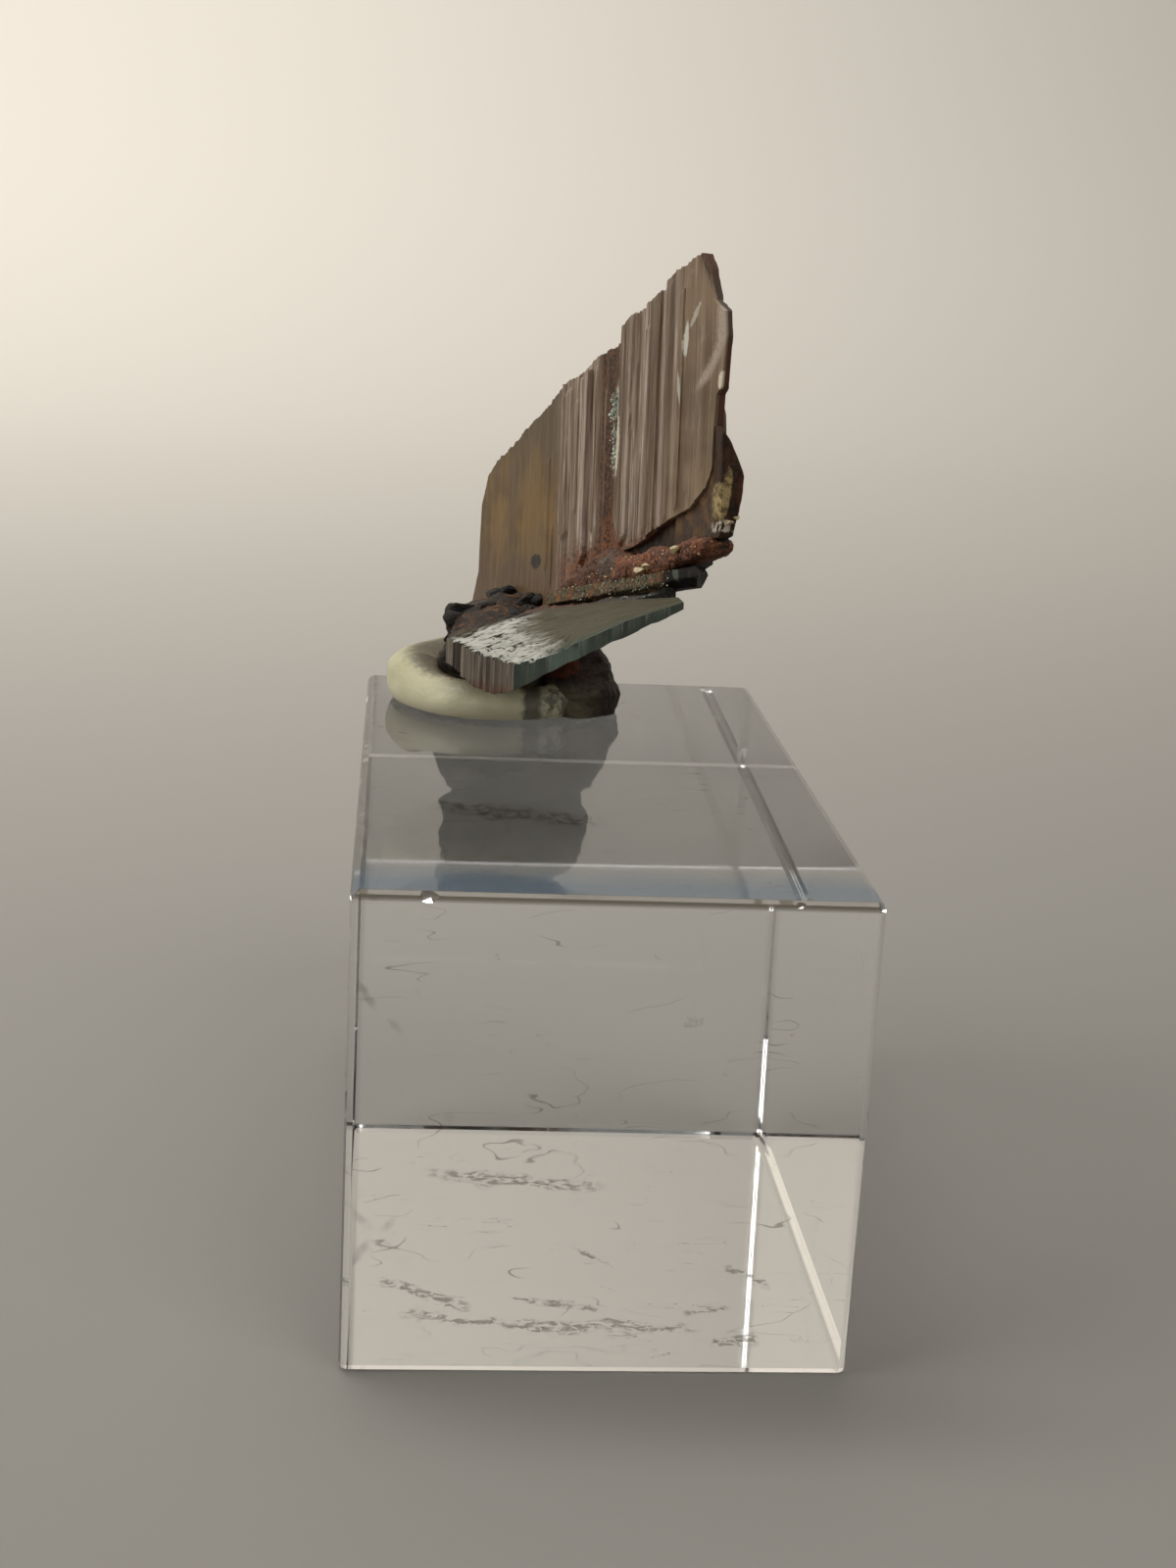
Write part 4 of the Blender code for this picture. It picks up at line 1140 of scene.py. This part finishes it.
def puttyFinish():
    f = Finish("palePutty")
    here, across, along, up = f.axes(inSheaf=False)
    cloud = f.noise(here, 0.25, 3)
    fine = f.noise(here, 2.4, 4, 0.6)
    colour = f.fade(cloud, 0.35, 0.68, "putty", (190, 185, 153))
    # darker towards the middle, where the roll dips to the root: partly grime along the inner side and partly
    # painted shade; painted shade also falls under the blue blade
    inner = (((across - putty["centre"][0]) / putty["reach"][0]) ** 2
            + ((along - putty["centre"][1]) / putty["reach"][1]) ** 2) ** 0.5
    darkPatches = (inner + fine * 0.24).ramp(1.04, 0.86)
    shadeUnderBlade = (across + fine * 1.6).ramp(-8.2, -5.6) * up.ramp(blockTop + 1.3, blockTop + 2.6)
    darkPatches = darkPatches.larger(shadeUnderBlade * along.ramp(13.6, 12) * 0.8)
    # darker and greyer towards the right end, with dark patches there and a dark line by the root
    rightEnd = (across + fine * 2.5).ramp(-2.4, 0.2)
    darkMarks = f.noise(here, 0.8, 4, 0.7).ramp(0.46, 0.58) * rightEnd
    darkMarks = darkMarks.larger((across + 2.1 + fine * 0.8).size().ramp(0.75, 0.35) * along.ramp(15, 13))
    colour = f.layers(colour, [
        # painted shade: the top of the roll darker
        (up.ramp(blockTop + 1.8, blockTop + 3.6) * 0.45, (146, 142, 114)),
        # painted light: the lower part of the roll lighter
        (up.ramp(blockTop + 2, blockTop + 0.7) * 0.8, (214, 208, 178)),
        # grime and painted shade towards the middle and under the blue blade
        (darkPatches * 0.9, (66, 55, 38)),
        (rightEnd * 0.5, (136, 134, 108)),
        (darkMarks * 0.8, (38, 32, 24)),
    ])
    f.set(Subsurface_Weight=0.25, Subsurface_Radius=(0.0012, 0.001, 0.0006), Subsurface_Scale=1)
    return f.done(colour, fine.ramp(0.3, 0.7, 0.42, 0.6), (fine, 0.1, 0.5))


makePiece("putty_roll", puttySkin(putty), [puttyFinish()], stands="mounting_putty",
        sharp=60)


# The clear block keeps its CAD shape and gets a worn clear finish

blockLook = {
    # a painted bluish band of light along the front of the top
    "frontLightBand": (80, 104, 124),
    "dust": (112, 105, 93),
    # where wear begins and is full, from the block's middle; the top edge is measured from the top
    "sideEdge": (12.05, 12.3), "frontEdge": (22.26, 22.38), "topEdge": (0.45, 0.2),
    # grime under the block: middle and reach sideways, place from front to back, slant, half width
    "smears": [(-3, 5.6, 11.4, -0.25, 1.3), (-8.3, 2.6, -10, -0.9, 1.2), (-5.6, 4.2, -14.6, -0.3, 0.8),
        (0.6, 5.4, -15.2, -0.05, 1.1), (-1.5, 2.6, -11.5, -0.4, 0.7), (6.4, 1.4, -12.5, 0.6, 0.9),
        (7.4, 1.4, -17.2, 0.4, 0.9), (9, 1.2, -6, -1.6, 0.9), (0.8, 1.2, -3, -2.2, 0.6)],
}


def blockFinish():
    f = Finish("clearBlock")
    here, across, along, up = f.axes(inSheaf=False)
    haze = f.noise(here, 0.4, 4, 0.6)
    drift = f.noise(here, 0.16, 3)
    # hair scratches: thin bands where stretched noise crosses one level
    turned = f.add("Mapping", {"vector_type": "POINT"}, {
        "Vector": here, "Rotation": (0.1, 0.2, 0.5), "Scale": (0.25, 2.2, 0.9)})
    scratch = (f.noise(turned, 0.5, 2) - 0.5).size().ramp(0.0035, 0.0012)
    scratch = scratch * f.noise(here, 0.22, 2).ramp(0.52, 0.62)
    # a few smears of grime under the block
    wobble = f.noise(here, 0.35, 4, 0.6)
    broken = f.noise(here, 1.6, 4, 0.65)
    nearby = f.noise(here, 0.5, 2)
    smears = []
    for middle, reach, place, slant, wide in blockLook["smears"]:
        away = (along - place - (across - middle) * slant + (wobble - 0.5) * 5).size()
        smear = away.ramp(wide, wide * 0.3) * (across - middle).size().ramp(reach, reach * 0.7)
        smears.append(smear * broken.ramp(0.44, 0.56))
    darkPatches = smears[0]
    for smear in smears[1:]:
        darkPatches = darkPatches.larger(smear)
    darkPatches = darkPatches * up.ramp(0.25, 0.1)
    stain = f.noise(here, 0.5, 4, 0.7).ramp(0.66, 0.74) * up.ramp(10, 22) * 0.25
    nearSide = across.size().ramp(*blockLook["sideEdge"])
    nearFront = along.size().ramp(*blockLook["frontEdge"])
    nearTop = (up - blockTop / 2).size().ramp(*(blockTop / 2 - below for below in blockLook["topEdge"]))
    worn = (nearSide * nearFront * 0.12).larger(nearSide * nearTop * 0.12)
    worn = worn.larger(nearFront * nearTop * (along - up).ramp(-46, -47) * 0.92)
    streak = (up - 9.5 + (across + 12) * 1.1 + wobble * 2).size().ramp(0.5, 0.1)
    streak = streak * across.ramp(-9, -11) * nearby.ramp(0.4, 0.6)
    marks = (scratch * 0.5).larger(darkPatches * 0.62).larger(stain).larger(worn).larger(streak * 0.35)
    # painted bluish band of light along the front of the top face
    frontLightBand = (along + drift * 1.6).ramp(-16.4, -20.6) * along.ramp(-22.6, -22.2) * up.ramp(24, 24.4)
    f.set(Transmission_Weight=1, IOR=1.49, Base_Color=(0.985, 0.99, 0.985, 1),
        Roughness=haze.ramp(0.3, 0.8, 0.015, 0.07))
    dust = f.add("BsdfDiffuse", {}, {"Color": tint(blockLook["dust"])})
    coolLightBand = f.add("BsdfDiffuse", {}, {"Color": tint(blockLook["frontLightBand"])})
    clear = Wire(f, f.shader.outputs[0])
    banded = f.add("MixShader", {}, {0: frontLightBand * 0.38, 1: clear, 2: coolLightBand})
    f.feed(f.output.inputs["Surface"], f.add("MixShader", {}, {0: marks, 1: banded, 2: dust}))
    return f.material


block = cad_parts["display_block"]
clearBlock = blockFinish()
for holder in block.material_slots:
    holder.material = clearBlock
print("putty and block done")


# Stage, light and camera

stage = {
    "wide": 1400, "front": -700, "bend": 330, "radius": 260, "wallTop": 900,
}


def sweepSkin(c):
    # formula: a flat floor that bends up into a wall along a quarter circle
    flat = pack(np.linspace(c["front"], c["bend"], 30), np.zeros(30))
    angle = np.linspace(0, np.pi / 2, 40)[1:]
    bend = pack(c["bend"] + c["radius"] * np.sin(angle), c["radius"] * (1 - np.cos(angle)))
    wall = pack(np.full(12, c["bend"] + c["radius"]), np.linspace(c["radius"], c["wallTop"], 13)[1:])
    profile = np.concatenate([flat, bend, wall])
    across = np.linspace(-c["wide"] / 2, c["wide"] / 2, 30)
    grid = np.zeros((len(profile), 30, 3))
    grid[..., 0] = across[None]
    grid[..., 1] = profile[:, :1]
    grid[..., 2] = profile[:, 1:] - 0.06
    return grid


def sweepFinish():
    f = Finish("paleSweep")
    here, across, along, up = f.axes(inSheaf=False)
    # painted light and shade: lighter to the left and up the wall, darker to the right and on the floor near the
    # block
    nearFloor = f.fade(across, -320, 320, (150, 147, 141), (114, 111, 106))
    farWall = f.fade(across, -260, 300, (232, 226, 216), (196, 191, 183))
    rise = (along + up * 0.9).ramp(-60, 560)
    aboveFrame = up.ramp(130, 260)
    colour = f.mix(aboveFrame, f.mix(rise, nearFloor, farWall), (182, 178, 171))
    return f.set(Base_Color=colour, Roughness=0.9, Specular_IOR_Level=0.1).material


grid = sweepSkin(stage)
sweep = smoothMesh("studio_sweep", grid.reshape(-1, 3), quads(*grid.shape[:2]).tolist(), [sweepFinish()])
sweepPiece = putInScene("studio_sweep", sweep)

lamps = {
    # place, aim, width, height in millimetres; power in watts; colour
    "leftSoft": ((-420, -60, 330), (0, 0, 40), 420, 420, 1.6, (1, 0.975, 0.94)),
    "topSoft": ((-40, 120, 520), (0, 0, 30), 420, 420, 1, (1, 0.985, 0.96)),
    "frontFill": ((240, -330, 460), (0, 0, 40), 360, 360, 0.9, (1, 0.98, 0.95)),
    "wallWash": ((-160, 150, 620), (-90, 600, 260), 420, 300, 2.6, (1, 0.975, 0.94)),
}
for name, (place, aim, wide, high, power, colour) in lamps.items():
    light = bpy.data.lights.new(name, "AREA")
    light.shape = "RECTANGLE"
    light.size = wide * millimetre
    light.size_y = high * millimetre
    light.energy = power
    light.color = colour
    lamp = putInScene(name, light)
    lamp.location = Vector(place) * millimetre
    lamp.rotation_euler = (Vector(aim) - Vector(place)).to_track_quat("-Z", "Y").to_euler()

world = bpy.data.worlds.new("studio")
bpy.context.scene.world = world
world.use_nodes = True
room = {"Color": (0.8, 0.79, 0.76, 1), "Strength": 0.19}
for key, value in room.items():
    world.node_tree.nodes["Background"].inputs[key].default_value = value
bpy.context.scene.view_settings.view_transform = "Standard"

view = {
    "place": (-10.7, -120.55, 56.625), "yaw": 5.16, "pitch": 15.21, "roll": 3.08,
    "focalPixels": 2286.4, "tallPixels": 1600, "sensor": 36, "clip": (0.001, 10),
}
lens = bpy.data.cameras.new("photoCamera")
lens.sensor_width = view["sensor"]
lens.lens = view["focalPixels"] / view["tallPixels"] * view["sensor"]
lens.clip_start, lens.clip_end = view["clip"]
camera = putInScene("photoCamera", lens)
camera.location = [v * millimetre for v in view["place"]]
level = Euler((math.radians(90 - view["pitch"]), 0, math.radians(-view["yaw"])), "XYZ").to_matrix()
rolled = level @ Euler((0, 0, math.radians(view["roll"])), "XYZ").to_matrix()
camera.rotation_euler = rolled.to_euler("XYZ")
bpy.context.scene.camera = camera
